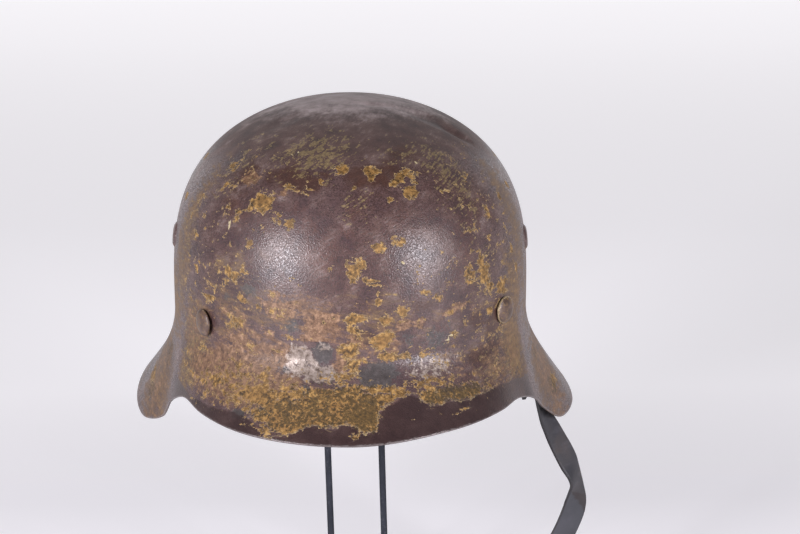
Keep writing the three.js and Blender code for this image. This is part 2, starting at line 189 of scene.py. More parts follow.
def bowl_normal(angle, run):
    """Unit vectors that point straight out of the outside."""
    step = 1e-3
    around = bowl(angle + step, run) - bowl(angle - step, run)
    down = bowl(angle, np.minimum(RIM_RUN, run + step)) - bowl(angle, np.maximum(0, run - step))
    out = np.cross(down, around)
    out[run == 0] = (0, 0, 1)
    return out / np.linalg.norm(out, axis=-1, keepdims=True)


def run_at_height(angle, height):
    """How far down the outside these heights are, found by halving."""
    above = np.zeros(len(angle))
    below = np.full(len(angle), RIM_RUN)
    for _ in range(HALVINGS):
        middle = (above + below) / 2
        higher = bowl(angle, middle)[:, 2] > height
        above = np.where(higher, middle, above)
        below = np.where(higher, below, middle)
    return above


def in_frame(points):
    """Points with heights over the lip, in millimetres, as places in the frame."""
    return (points + (0, 0, LIP_HEIGHT)) * MM


def wall_place(angle, height):
    """Where the wall has this angle in degrees and height: X is level, Y climbs, Z points out."""
    angle = np.radians([float(angle)])
    run = run_at_height(angle, height)
    out = Vector(bowl_normal(angle, run)[0])
    level = Vector((0, 0, 1)).cross(out).normalized()
    climb = out.cross(level)
    place = Vector(in_frame(bowl(angle, run)[0]))
    return Matrix.Translation(place) @ Matrix((level, climb, out)).transposed().to_4x4()


def dent_depth(points):
    """How deep the dents are under these points of the outside."""
    depth = np.zeros(len(points))
    for x, y, length, width, turn, deep in DENTS:
        turn = math.radians(turn)
        right = points[:, 0] - x
        back = points[:, 1] - y
        along = (right * math.cos(turn) + back * math.sin(turn)) / (length / 2)
        across = (back * math.cos(turn) - right * math.sin(turn)) / (width / 2)
        near = np.maximum(0, 1 - along ** 2 - across ** 2)
        depth += deep * near ** 2 * (points[:, 2] > 0)
    return depth


def vertex_places(piece):
    """The places of a piece's vertices, a row for each."""
    places = np.empty(len(piece.data.vertices) * 3)
    piece.data.vertices.foreach_get("co", places)
    return places.reshape(-1, 3)


def select_vertices(piece, chosen):
    """Selects these vertices alone and leaves the piece in edit mode."""
    bpy.ops.object.mode_set(mode="EDIT")
    bpy.ops.mesh.select_mode(type="VERT")
    bpy.ops.mesh.select_all(action="DESELECT")
    bpy.ops.object.mode_set(mode="OBJECT")
    piece.data.vertices.foreach_set("select", np.asarray(chosen, bool))
    bpy.ops.object.mode_set(mode="EDIT")


def face_outward():
    """Turns all faces of the active piece outward."""
    bpy.ops.object.mode_set(mode="EDIT")
    bpy.ops.mesh.select_all(action="SELECT")
    bpy.ops.mesh.normals_make_consistent(inside=False)
    bpy.ops.object.mode_set(mode="OBJECT")


def pressed_bowl(name, sides, runs, depth, dented):
    """A ball with its lower pole cut off, pressed to the bowl at a depth under its outside."""
    bpy.ops.mesh.primitive_uv_sphere_add(segments=sides, ring_count=len(runs), radius=1)
    piece = bpy.context.object
    piece.name = name
    ball_height = vertex_places(piece)[:, 2]
    select_vertices(piece, ball_height == ball_height.min())
    bpy.ops.mesh.delete(type="VERT")
    bpy.ops.object.mode_set(mode="OBJECT")
    ball = vertex_places(piece)
    ring = np.rint(np.arccos(np.clip(ball[:, 2], -1, 1)) / math.pi * len(runs)).astype(int)
    angle = np.arctan2(ball[:, 0], -ball[:, 1])
    run = np.array(runs)[ring]
    points = bowl(angle, run)
    points -= bowl_normal(angle, run) * (depth + dent_depth(points) * dented)[:, None]
    piece.data.vertices.foreach_set("co", in_frame(points).ravel())
    face_outward()
    return piece


def pick(piece, *others):
    """Selects these pieces alone and makes the first one active."""
    bpy.ops.object.select_all(action="DESELECT")
    for other in (piece, *others):
        other.select_set(True)
    bpy.context.view_layer.objects.active = piece


def add_modifier(piece, kind, **settings):
    """A modifier with these settings, applied at once."""
    modifier = piece.modifiers.new(kind.lower(), kind)
    for setting, value in settings.items():
        setattr(modifier, setting, value)
    pick(piece)
    bpy.ops.object.modifier_apply(modifier=modifier.name)


def thicken(piece, steel):
    """Makes a sheet of steel this many millimetres thick out of an outside."""
    add_modifier(piece, "SOLIDIFY", thickness=steel * MM, offset=-1, use_even_offset=True)


def round_edges(piece, width, angle, steps):
    """Rounds the edges that turn by more than this many degrees."""
    limit = math.radians(angle)
    add_modifier(piece, "BEVEL", width=width * MM, segments=steps, limit_method="ANGLE", angle_limit=limit)


def turned(name, outline, sides):
    """A turned piece round Z: a ring that is drawn out along an outline of radius and height."""
    radius, height = outline[0]
    bpy.ops.mesh.primitive_circle_add(vertices=sides, radius=radius * MM, location=(0, 0, height * MM))
    piece = bpy.context.object
    piece.name = name
    bpy.ops.object.transform_apply()
    bpy.ops.object.mode_set(mode="EDIT")
    bpy.ops.mesh.select_all(action="SELECT")
    for next_radius, next_height in outline[1:]:
        climb = {"value": (0, 0, (next_height - height) * MM)}
        bpy.ops.mesh.extrude_region_move(TRANSFORM_OT_translate=climb)
        grow = next_radius / radius
        bpy.ops.transform.resize(value=(grow, grow, 1), center_override=(0, 0, 0))
        radius, height = next_radius, next_height
    bpy.ops.mesh.select_all(action="SELECT")
    bpy.ops.mesh.remove_doubles(threshold=MERGE_DISTANCE * MM)
    face_outward()
    return piece


def put(piece, place):
    """Moves a piece and sets its place into its mesh."""
    pick(piece)
    piece.matrix_world = place
    bpy.ops.object.transform_apply()


def join(piece, *others):
    """Joins the other pieces to the first one."""
    pick(piece, *others)
    bpy.ops.object.join()


def dress(piece, crease, material, node):
    """Smooths a piece up to its creases, gives it its material, hangs it on the root body and hides the
    model's solid that it stands for.
    """
    pick(piece)
    bpy.ops.object.shade_smooth_by_angle(angle=math.radians(crease))
    piece.data.materials.append(material)
    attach(piece, "root")
    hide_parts(node)


dome_runs = [(i / DOME_ROWS) ** CROWN_CROWDING for i in range(DOME_ROWS + 1)]
flare_runs = [1 + i / FLARE_ROWS for i in range(1, FLARE_ROWS + 1)]
helmet_shell = pressed_bowl("helmet_steel_shell", SHELL_SIDES, dome_runs + flare_runs, 0, True)
shell_places = vertex_places(helmet_shell)
near_vent = np.zeros(len(shell_places), bool)
for vent_angle, vent_height in VENTS:
    vent_middle = np.array(wall_place(vent_angle, vent_height).translation)
    near_vent |= np.linalg.norm(shell_places - vent_middle, axis=1) < VENT_CUT * MM
select_vertices(helmet_shell, near_vent)
bpy.ops.mesh.delete(type="VERT")
bpy.ops.object.mode_set(mode="OBJECT")
thicken(helmet_shell, SHELL_STEEL)
round_edges(helmet_shell, SHELL_EDGE_ROUND, SHELL_EDGE_ANGLE, steps=2)
for vent_angle, vent_height in VENTS:
    vent = turned("vent", VENT_RING, VENT_SIDES)
    put(vent, wall_place(vent_angle, vent_height))
    join(helmet_shell, vent)

# Old paint and tarnish on the shell, where use has left them. Each patch has its middle's angle and
# height, its width, how tall it is, how much of it is left and, if it isn't level, its turn.
OCHRE_CHIPS = (
    (-28, 105.7, 14.2, 9.6, 1, 20), (-25, 102.5, 4.6, 4.4, 0.9), (-26, 100.6, 6.8, 5.6, 0.6, 10),
    (-21.2, 99.2, 8.2, 6.2, 0.62, -35), (-16.8, 97.2, 7.5, 8, 0.62, 20), (-29, 86.3, 5, 3.3, 0.8),
    (-3, 119.8, 7.4, 9.9, 0.9), (8, 119.2, 9, 7.5, 1, 15), (7, 116.5, 3.6, 6.1, 1, -20),
    (17, 115.8, 6.6, 13, 0.95, -55), (21, 116.1, 9.4, 10.6, 0.8, 35), (19, 110, 8.6, 7.4, 0.95, 10),
    (7.3, 87.7, 7.9, 5.2, 0.95, -10), (12.5, 90.1, 7.3, 6.4, 0.95), (0.3, 77.9, 7.1, 11.8, 1),
    (2.5, 80.7, 9.4, 5.6, 0.8, -10), (5, 71.9, 9.2, 4, 0.9, -12), (33.2, 68.2, 7.5, 13, 0.8, -20),
    (39.7, 66.9, 8.8, 24, 0.85, 20), (36.3, 80.2, 9.3, 5.1, 0.6), (47.3, 56.1, 11.8, 11.1, 0.7),
    (-30, 59.9, 7.7, 6.3, 0.9), (-32.5, 69.1, 10.5, 8.5, 0.65, -45), (-32.8, 45.5, 13, 8.8, 0.7),
    (1, 53.4, 11.7, 6.3, 1, 5), (-0.2, 49.2, 8.4, 4.7, 0.9), (8.8, 53.4, 7.4, 6.3, 1, 10),
    (13, 57, 6.9, 6.5, 0.95, 20), (7.6, 41.4, 13.6, 9, 0.85, 24), (6.8, 63.2, 3.4, 9.7, 0.7, 10),
    (18.3, 15.6, 3.8, 4.5, 1), (21, 15.6, 4.4, 4.4, 1), (24.5, 7.3, 10.4, 2, 0.7, 4),
    (-128, 90, 4, 4, 0.9), (139, 68, 4, 5, 0.9), (23.5, 60.1, 5.4, 4.2, 0.8), (27, 39, 10.5, 11.8, 0.5),
    (19, 64.2, 5.9, 3.8, 0.7), (41, 46.5, 6.5, 5.5, 0.7), (32, 43.6, 6.2, 4.6, 0.7, 20),
    (-35.2, 98.9, 3.8, 4.3, 0.9), (-35.5, 94.8, 3.5, 3.6, 0.8), (-31, 101, 3.8, 3.3, 0.9),
    (1.5, 113.2, 2.7, 3, 1), (-9.8, 115, 3, 3.6, 1), (12, 107.5, 4.9, 3.7, 0.7, 20),
    (-5, 78.6, 4.7, 3.6, 0.6), (46.5, 93.5, 5.1, 7.1, 0.7), (36.5, 89.7, 8.9, 7, 0.5),
    (-35.2, 71.4, 6.6, 5.7, 0.8, -30), (-29, 72.5, 5.2, 2.4, 0.8), (-14.3, 112, 6.1, 9.1, 0.6),
    (-19.5, 112, 9.6, 4.9, 0.6, -10), (13.4, 33.4, 8.2, 5.2, 0.7, 10), (18.5, 34, 8.4, 5.5, 0.6),
    (-46, 25.9, 10.2, 6.3, 0.6), (-41.8, 54.6, 9.9, 5.9, 0.6), (-24.2, 56.9, 4.3, 4.6, 0.7),
    (1.7, 62.2, 3.1, 3.9, 0.7), (0.5, 3.5, 7, 4, 0.9, 8), (9, 33, 14, 3.4, 0.75, -6),
    (-0.6, 36.6, 13.5, 8.2, 0.75, -15), (1.2, 29.4, 9, 15, 0.7, -40), (-48.2, 115.2, 7.2, 11.3, 0.5),
    (-46.5, 108.5, 6.8, 10.4, 0.5, 20), (-51.2, 92.1, 6.3, 5.6, 0.55), (-52.5, 80.9, 7.1, 6.2, 0.5),
    (150, 62, 14, 9, 0.9, 20), (-162, 84, 9, 12, 0.9), (172, -12, 44, 12, 0.9, 4),
    (122, -18, 30, 9, 0.8, -6), (-134, -14, 38, 10, 0.85, 5), (-116, 70, 8, 10, 0.7),
    (112, 95, 9, 7, 0.8, 30), (160, 110, 12, 8, 0.9), (-150, 40, 12, 14, 0.8, -20), (-95, 60, 6, 9, 0.6),
    (98, 30, 8, 7, 0.6), (-178, 60, 7, 9, 0.8), (146, 104, 13, 9, 1, 15), (152, 97, 7, 6, 0.9),
    (142, 96, 5, 5, 0.9), (157, 105, 4, 4, 0.9), (-156, 91, 6, 5, 0.9, 20), (-168, 76, 5, 5, 0.9),
    (-158, 73, 9, 4, 0.8, -10), (118, 67, 10, 8, 1, -20), (124, 60, 5, 6, 0.9), (113, 55, 12, 6, 0.8, 10),
    (121, 46, 9, 9, 0.7), (-112, 52, 10, 8, 1), (-106, 45, 6, 6, 0.9), (-119, 38, 13, 6, 0.8, 12),
    (-100, 36, 6, 8, 0.7), (166, -18, 24, 8, 1, 3), (-168, -20, 28, 9, 1, -4), (147, -8, 18, 9, 0.8),
    (-150, -6, 22, 9, 0.9, 8), (180, 5, 20, 9, 0.7), (-171, 15, 13, 8, 0.7), (160, 22, 15, 8, 0.7, -12),
    (90, -21, 16, 8, 0.8), (-92, -17, 18, 9, 0.8), (-75, 92, 7, 6, 0.8), (72, 98, 6, 6, 0.8),
    (-84, 110, 9, 6, 0.7), (88, 108, 10, 6, 0.7), (170, 88, 5, 4, 0.9), (-140, 104, 7, 5, 0.8),
    (133, 80, 6, 5, 0.8), (-133, 62, 5, 6, 0.8), (-56, 70, 4, 5, 0.8), (-50, 66, 5, 4, 0.8),
    (-58, 58, 4, 6, 0.7), (-53, 48, 5, 5, 0.7), (-60, 88, 4, 7, 0.7), (-57, 100, 4, 6, 0.7),
    (56, 72, 4, 6, 0.7), (59, 60, 4, 6, 0.7), (54, 86, 4, 5, 0.7), (58, 96, 4, 6, 0.7),
    (25, 45, 46, 34, 0.1), (42, 50, 30, 44, 0.12), (-38, 62, 30, 38, 0.2), (-24, 50, 40, 24, 0.1),
    (-44, 92, 26, 50, 0.05), (46, 92, 24, 40, 0.05),
)
TAN_WEAR = (
    (-19, 57, 21.8, 12.5, 0.8, -10), (-7.8, 52.1, 21, 9.4, 1, 12), (-9, 44.1, 18.1, 5.9, 0.85),
    (-29.5, 33.5, 26, 16.7, 0.8, -20), (-18.8, 34, 14.1, 13.6, 0.7), (13.3, 49.3, 12.3, 6.2, 0.9, 10),
    (17.8, 49.3, 6.8, 6.1, 0.7), (27.5, 53.2, 20.5, 6.6, 0.55, 10), (-33.2, 48.7, 27.1, 15.2, 0.5, -30),
    (-21.2, 44, 20.7, 11.4, 0.45), (0, 39.3, 10.7, 14.7, 0.6), (8.5, 34.1, 14.1, 9.1, 0.6),
    (-18.8, 63.2, 13.6, 5.8, 0.5), (46.2, 93.5, 9, 7.8, 0.45), (45.3, 86, 7.5, 5.7, 0.45),
    (-15.5, 112.4, 11.8, 6.8, 0.45), (-21.2, 110, 5.5, 6.3, 0.5), (-39.7, 20.5, 9, 9.1, 0.5),
    (-3.3, 31.1, 7.9, 18.8, 0.7), (-36.2, 113, 12.8, 10.6, 0.6), (172, 30, 28, 14, 0.8, -6),
    (-160, 24, 24, 12, 0.7, 10), (140, 24, 22, 14, 0.7), (-128, 26, 26, 14, 0.7, -12),
    (104, 8, 22, 10, 0.6, 8),
)
SLATE_TARNISH = (
    (6.2, 25.9, 23.4, 15.3, 1, -5), (23.3, 41.8, 29.3, 16.4, 0.5), (-7.3, 36.5, 12.5, 11.7, 1, 10),
    (-11.2, 20, 6.9, 6.3, 0.9), (-16.5, 26.7, 6.1, 7, 0.9, 30), (-26, 6.3, 9.9, 8.2, 0.8),
    (-19.5, 10.3, 9.7, 6.3, 0.9), (-27.8, 64, 11.6, 8.6, 0.7), (-14.7, 49.3, 9.9, 9.4, 0.7),
    (-35.2, 57.5, 15.1, 9.9, 0.6), (-25.8, 39.1, 11.4, 10.1, 0.4), (13.8, 42, 12.9, 7.5, 0.5),
    (165, 39, 15, 9, 0.9), (-150, 17, 13, 9, 0.8), (130, 8, 14, 8, 0.8), (-104, 14, 12, 9, 0.7),
)
# Grey metal rubbed bare, painted paler where the soft boxes' highlight falls on the visor's flare: part
# wear, part painted highlight.
RUBBED_METAL_AND_HIGHLIGHT = (
    (-13, 31.4, 15.3, 16.7, 1), (-8, 26.3, 21.1, 9.6, 1.15), (-6.7, 39.3, 10.3, 6, 0.35),
    (19.7, 26.2, 27.5, 10.1, 0.6, 6), (28.7, 28.3, 13.8, 5.1, 0.2, -5), (-176, 11, 15, 8, 0.6),
)
OLIVE_DUST = (
    (-15.2, 124.9, 38.5, 43.3, 1, 10), (37, 113.7, 28.2, 58.4, 0.85), (-47, 119, 26, 51.5, 0.5),
    (1.2, 106.6, 14.7, 18.3, 0.5), (23, 124.3, 27.1, 23.6, 0.5), (45.5, 16.6, 53.3, 38, 0.6),
    (38, 69.6, 28.8, 30.1, 0.5), (-51, 23.7, 31.9, 56, 0.8), (-61.5, 74, 22.9, 66, 0.5),
    (180, 112, 60, 44, 0.9), (122, 84, 44, 56, 0.6), (-126, 78, 48, 50, 0.7), (160, 45, 50, 40, 0.6),
)
DUST_FILM = (
    (34, 45.5, 50, 27, 0.15), (26.2, 32.6, 62.1, 21.5, 0.2), (40.7, 55.8, 48, 34, 0.15),
    (-33.2, 57.6, 45.8, 48.2, 0.5), (-18, 54.6, 54.8, 17.2, 0.6), (5.7, 54.6, 43.5, 25.9, 0.45),
    (45.5, 16.6, 53.3, 38, 0.4), (-51, 23.7, 31.9, 56, 0.9), (-82, -8.4, 56, 62, 0.9),
    (56, 50.5, 30, 52.4, 0.8), (84, -10, 56, 62, 0.9), (-61.5, 74, 26, 86, 0.7), (64, 78, 26, 86, 0.6),
    (78, 40, 40, 50, 0.7), (-74, 40, 40, 50, 0.8), (135, 0, 90, 44, 0.8), (-135, 0, 90, 44, 0.8),
    (180, 6, 90, 40, 0.8), (180, 70, 70, 40, 0.5), (54, 22, 28, 46, 1.1),
)
SAND_WASH = (
    (-28.7, 20, 83, 27.7, 1.6), (-22.7, 33.9, 57.4, 23.2, 0.85, -15), (-13, 55.9, 37.8, 20, 0.7),
    (175, -8, 100, 20, 1), (128, -12, 60, 18, 0.8), (-132, -10, 64, 20, 0.9), (150, 55, 32, 20, 0.6, 10),
    (-155, 42, 40, 24, 0.7, -10), (-108, 48, 26, 22, 0.5), (104, 52, 22, 26, 0.5),
    (-7.5, 49.3, 24.4, 20, 0.85), (-1.2, 34, 11.2, 25.3, 0.8), (0.8, 34, 16.1, 18.1, 0.75),
    (8.2, 39.3, 18, 20.1, 0.6), (43.5, 17.4, 44.7, 38, 0.4), (29.5, 50.4, 29.7, 14.1, 0.35),
    (27, 22.3, 41.3, 20.8, 0.35), (-50, 32, 32, 34, 0.5), (-35.5, 51.4, 38.9, 22.4, 0.45),
    (-84, -12, 50, 60, 0.45), (86, -14, 50, 60, 0.65), (3, 16.8, 33.7, 14.2, 0.8),
    (-8.5, 16.4, 32.2, 15.5, 0.9),
)
# Darker patches: partly brown stains, partly painted shade on the front of the dome, which faces the dim
# room, and on the right brow beside the soft box's highlight.
DARK_STAIN_AND_SHADE = (
    (-15.7, 115.4, 46, 17, 0.9, -4), (10, 118.2, 46, 18.6, 0.9, 4), (25.3, 123.7, 33, 20.8, 0.6, 10),
    (-43.3, 111.9, 38.8, 38.6, 0.5), (140, 100, 60, 30, 0.7), (-150, 95, 50, 36, 0.7),
    (43.5, 35, 15, 26, 1.5), (36, 44, 18, 10, 0.9, -10), (37, 26, 26, 9, 1.1), (29, 47, 18, 7, 0.6),
    (2.5, 44.2, 15, 7.5, 1.3), (20, 58, 22, 8, 0.8),
)
PITTED_BAND = (
    (-10.7, 10.2, 60, 22, 0.85, -4), (2.3, 10.2, 24, 25, 1.35), (25.3, 14.2, 48, 12, 1.1, -5),
    (-3.3, 18.3, 44, 14, 0.85), (23, 13.4, 26, 6, 1.1, -4), (172, -12, 60, 14, 0.6, 4),
    (-134, -14, 40, 12, 0.6, 5), (-86, -22, 18, 12, 0.8, 20), (-76, 6, 12, 14, 0.7),
    (86, -22, 18, 12, 0.8, -20), (78, 4, 12, 12, 0.7),
)
PALE_FLECKS = (
    (-38.6, 94.5, 1.3, 5, 1, 8), (-37.3, 92.6, 1.4, 6.5, 1, 8), (15, 118.9, 3.6, 1.2, 1, 10),
    (26, 120.4, 1.6, 1.9, 1), (13.3, 80.1, 3.3, 1.3, 1, 18), (26, 39.1, 6.5, 2.2, 1, 35),
    (15.2, 70.3, 2, 1.2, 0.9), (-21.5, 113.5, 3, 1.4, 0.9), (-23.5, 124.3, 1.2, 9, 0.8, -45),
    (-16.8, 125.4, 9, 1.4, 0.8, 10), (-9.8, 114.7, 1.6, 1.3, 0.8), (158, 101, 3, 1.3, 0.9, 20),
    (-165, 88, 1.4, 4, 0.9), (115, 61, 3.2, 1.2, 0.8, -15), (-109, 49, 1.5, 3, 0.8),
)
# The broad ochre band across the visor: angle and height along its lower and its upper edge.
BAND_LOW = (
    (-62, 4), (-50.3, 3.3), (-44, 3), (-38.5, 4), (-32.8, 5.1), (-29.8, 6), (-27.8, 6.8), (-23.5, 6.5),
    (-22.2, 5.9), (-19.7, 3.3), (-18.5, 2), (-15.2, 2), (-13.7, 2.6), (-12.7, 3.3), (-11.8, 4.6),
    (-9.8, 6.5), (-7.5, 7.6), (-6.7, 7), (-4.2, 6.2), (-3, 6.2), (-2.5, 8.1), (-1.5, 8.1), (-0.5, 7.5),
    (1, 6.8), (2, 4.3), (4.8, 5.1), (5, 7.7), (5.3, 10.2), (6, 12.6), (7.3, 13.9), (9.8, 15.7),
    (11.5, 17.4), (14, 17.6), (15.2, 15.6), (16.5, 13.5), (19, 11.8), (22, 12.8), (25.5, 11.4),
    (27.8, 9.9), (29.3, 10.9), (34.5, 10.1), (38.5, 10), (46.5, 7.6), (56, 3.9),
)
BAND_HIGH = (
    (-62, 12), (-57.5, 21.2), (-52.8, 22.9), (-45, 26.4), (-35.7, 30.5), (-30, 30.2), (-26.7, 28.7),
    (-22.2, 26.2), (-18.5, 23.5), (-15.2, 22.3), (-12.3, 20.9), (-9, 20.8), (-5.7, 21.7), (-3, 22.9),
    (-0.2, 23.8), (2, 23.8), (4.8, 20.8), (7.3, 24), (10.2, 22), (12, 20.3), (15, 19.5), (19.2, 19.6),
    (25, 20.7), (31.5, 19.1), (38.5, 15.1), (48, 11.3), (56, 5),
)
# angle, share of the band that is left
BAND_SHARE = (
    (-64, 0), (-58, 0.4), (-36, 0.52), (-22, 0.8), (-12, 1), (14, 1), (26, 0.8), (36, 0.58), (50, 0.48),
    (58, 0),
)
# millimetres along the brow in a degree
BROW_ARC = 1.95
# angles between which a pale line runs along the band's lower edge, and how far its field reaches
LIP_LINE_ENDS = (-17, 40)
LIP_LINE_REACH = 6
# the visor is bare below the band: how soft that edge is, and the angles between which it ends
BARE_SOFT = 2
BARE_ENDS = (55, 66)
# angle, how soft the band's lower edge is in millimetres
BAND_LOW_SOFT = ((-60, 5), (-20, 4), (-12, 1.4), (30, 1.2), (44, 3))
BAND_HIGH_SOFT = 6.5
# how wide the rubbed edge of the rim is: bare metal, painted paler as a thin highlight line too
RIM_WEAR_AND_HIGHLIGHT_WIDTH = 0.5
# how much smaller a chip's ochre is than its pale edge, and how far tarnish takes paint away, as fields
CHIP_EDGE = 0.07
SLATE_COVER = 0.45
# the crown is worn above this height: the distances from its middle between which the matt skin and the
# pale dust, which is also a painted reflection of the bright room, fade out, and how far behind the middle
# they lie
CROWN_FROM = 100
CROWN_MATT = (58, 84)
CROWN_DUST_AND_REFLECTION = (26, 62)
CROWN_DUST_AND_REFLECTION_BACK = 20
# what faces a place at this height in the middle, and isn't just edge-on to it, is inside the shell
INSIDE_HEIGHT = 20
INSIDE_FACING = -0.1
# what a field is at an edge, and where there is nothing
FIELD_EDGE = 0.5
FIELD_FLOOR = -0.6
# a whole patch's field in its middle, and how much lower it is at the patch's size
PATCH_TOP = 1.3
PATCH_FALL = 0.85
# how far off its own plane a patch reaches: a share of its size, millimetres more, and the fade past them
PATCH_DEPTH_SHARE = 0.4
PATCH_DEPTH = 2
PATCH_FADE = 8
paint_places = vertex_places(helmet_shell)
paint_angles = np.degrees(np.arctan2(paint_places[:, 0], -paint_places[:, 1]))
paint_heights = paint_places[:, 2] / MM - LIP_HEIGHT


def patch_field(patches):
    """How near each vertex is to a patch: about one half on the edge of a whole one."""
    field = np.full(len(paint_places), FIELD_FLOOR)
    for angle, height, width, tall, left_share, *turns in patches:
        place = wall_place(angle, height)
        local = (paint_places - np.array(place.translation)) @ np.array(place.to_3x3()) / MM
        turn = math.radians(sum(turns))
        along = local[:, 0] * math.cos(turn) + local[:, 1] * math.sin(turn)
        across = local[:, 1] * math.cos(turn) - local[:, 0] * math.sin(turn)
        off_middle = (2 * along / width) ** 2 + (2 * across / tall) ** 2
        off_plane = np.abs(local[:, 2]) - PATCH_DEPTH_SHARE * max(width, tall) - PATCH_DEPTH
        near = left_share * (PATCH_TOP - PATCH_FALL * off_middle) - np.clip(off_plane / PATCH_FADE, 0, 1)
        field = np.maximum(field, near)
    return field


def keep_field(piece, name, values):
    """Keeps a value for each vertex, which the piece's material reads by its name."""
    piece.data.attributes.new(name, "FLOAT", "POINT").data.foreach_set("value", values)


def above_line(rows):
    """How far each vertex is above a line of angles and heights, in millimetres."""
    line = np.array(rows) * (BROW_ARC, 1)
    points = np.stack([paint_angles * BROW_ARC, paint_heights], 1)
    nearest = np.full(len(points), np.inf)
    for start, end in zip(line, line[1:]):
        run = end - start
        share = np.clip((points - start) @ run / (run @ run), 0, 1)
        nearest = np.minimum(nearest, np.linalg.norm(points - start - share[:, None] * run, axis=1))
    return np.where(paint_heights > np.interp(points[:, 0], *line.T), nearest, -nearest)


above_low = above_line(BAND_LOW)
low_soft = np.interp(paint_angles, *np.array(BAND_LOW_SOFT).T)
band = np.minimum(above_low / (2 * low_soft), -above_line(BAND_HIGH) / (2 * BAND_HIGH_SOFT))
band_share = np.interp(paint_angles, *np.array(BAND_SHARE).T)
band = np.maximum(FIELD_FLOOR, (band + FIELD_EDGE - FIELD_FLOOR) * band_share + FIELD_FLOOR)
on_lip = (paint_angles > LIP_LINE_ENDS[0]) & (paint_angles < LIP_LINE_ENDS[1])
bare = np.clip(FIELD_EDGE - above_low / (2 * BARE_SOFT), 0, 1)
bare *= np.interp(np.abs(paint_angles), BARE_ENDS, (1, 0))
slate = patch_field(SLATE_TARNISH)
under_slate = SLATE_COVER * np.clip(slate, 0, 1)
chips = patch_field(OCHRE_CHIPS)
on_crown = paint_heights > CROWN_FROM
from_top = np.hypot(paint_places[:, 0], paint_places[:, 1]) / MM
from_dust_and_reflection = np.hypot(paint_places[:, 0], paint_places[:, 1] - CROWN_DUST_AND_REFLECTION_BACK * MM) / MM
rim_places = in_frame(bowl(np.radians(paint_angles), np.full(len(paint_angles), RIM_RUN)))
from_rim = np.linalg.norm(paint_places - rim_places, axis=1) / MM
normals = np.empty(len(paint_places) * 3)
helmet_shell.data.vertices.foreach_get("normal", normals)
outward = paint_places - (0, 0, (LIP_HEIGHT + INSIDE_HEIGHT) * MM)
outward /= np.linalg.norm(outward, axis=1, keepdims=True)
facing = np.sum(normals.reshape(-1, 3) * outward, axis=1)
shell_fields = {
    "lip": np.where(on_lip, np.clip(above_low, -LIP_LINE_REACH, LIP_LINE_REACH), -LIP_LINE_REACH),
    "bare": bare,
    "chips": chips - under_slate,
    "ochre": np.maximum(band, chips - CHIP_EDGE) - under_slate,
    "pitted": patch_field(PITTED_BAND) - bare,
    "dark": patch_field(DARK_STAIN_AND_SHADE),
    "matt": on_crown * np.interp(from_top, CROWN_MATT, (1, 0)),
    # the crown's pale dust, which is also a painted reflection of the bright room
    "crown": on_crown * np.interp(from_dust_and_reflection, CROWN_DUST_AND_REFLECTION, (1, 0)),
    "tan": patch_field(TAN_WEAR) - under_slate,
    "wash": patch_field(SAND_WASH) - under_slate,
    "slate": slate,
    "silver": patch_field(RUBBED_METAL_AND_HIGHLIGHT),
    "olive": patch_field(OLIVE_DUST),
    "film": patch_field(DUST_FILM),
    "fleck": patch_field(PALE_FLECKS),
    "rim": np.clip(FIELD_EDGE + 1 - from_rim / RIM_WEAR_AND_HIGHLIGHT_WIDTH, 0, 1),
    "inside": (facing < INSIDE_FACING).astype(float),
}
for name, field in shell_fields.items():
    keep_field(helmet_shell, name, field)


def linear(hex_colour):
    """An sRGB hex colour as linear light, with alpha."""
    channels = [int(hex_colour[i:i + 2], 16) / 255 for i in (1, 3, 5)]
    return [c / 12.92 if c <= 0.04045 else ((c + 0.055) / 1.055) ** 2.4 for c in channels] + [1]


def add_node(tree, kind, inputs=None, **settings):
    """A node with these settings, and with a value or a link on each named input."""
    node = tree.nodes.new(kind)
    for setting, value in settings.items():
        setattr(node, setting, value)
    for socket, value in (inputs or {}).items():
        if isinstance(value, bpy.types.NodeSocket):
            tree.links.new(value, node.inputs[socket])
        else:
            node.inputs[socket].default_value = value
    return node


# each pattern is moved by this much from the one before it, so that they don't line up
PATTERN_SHIFT = (0.31, 0.17, 0.23)


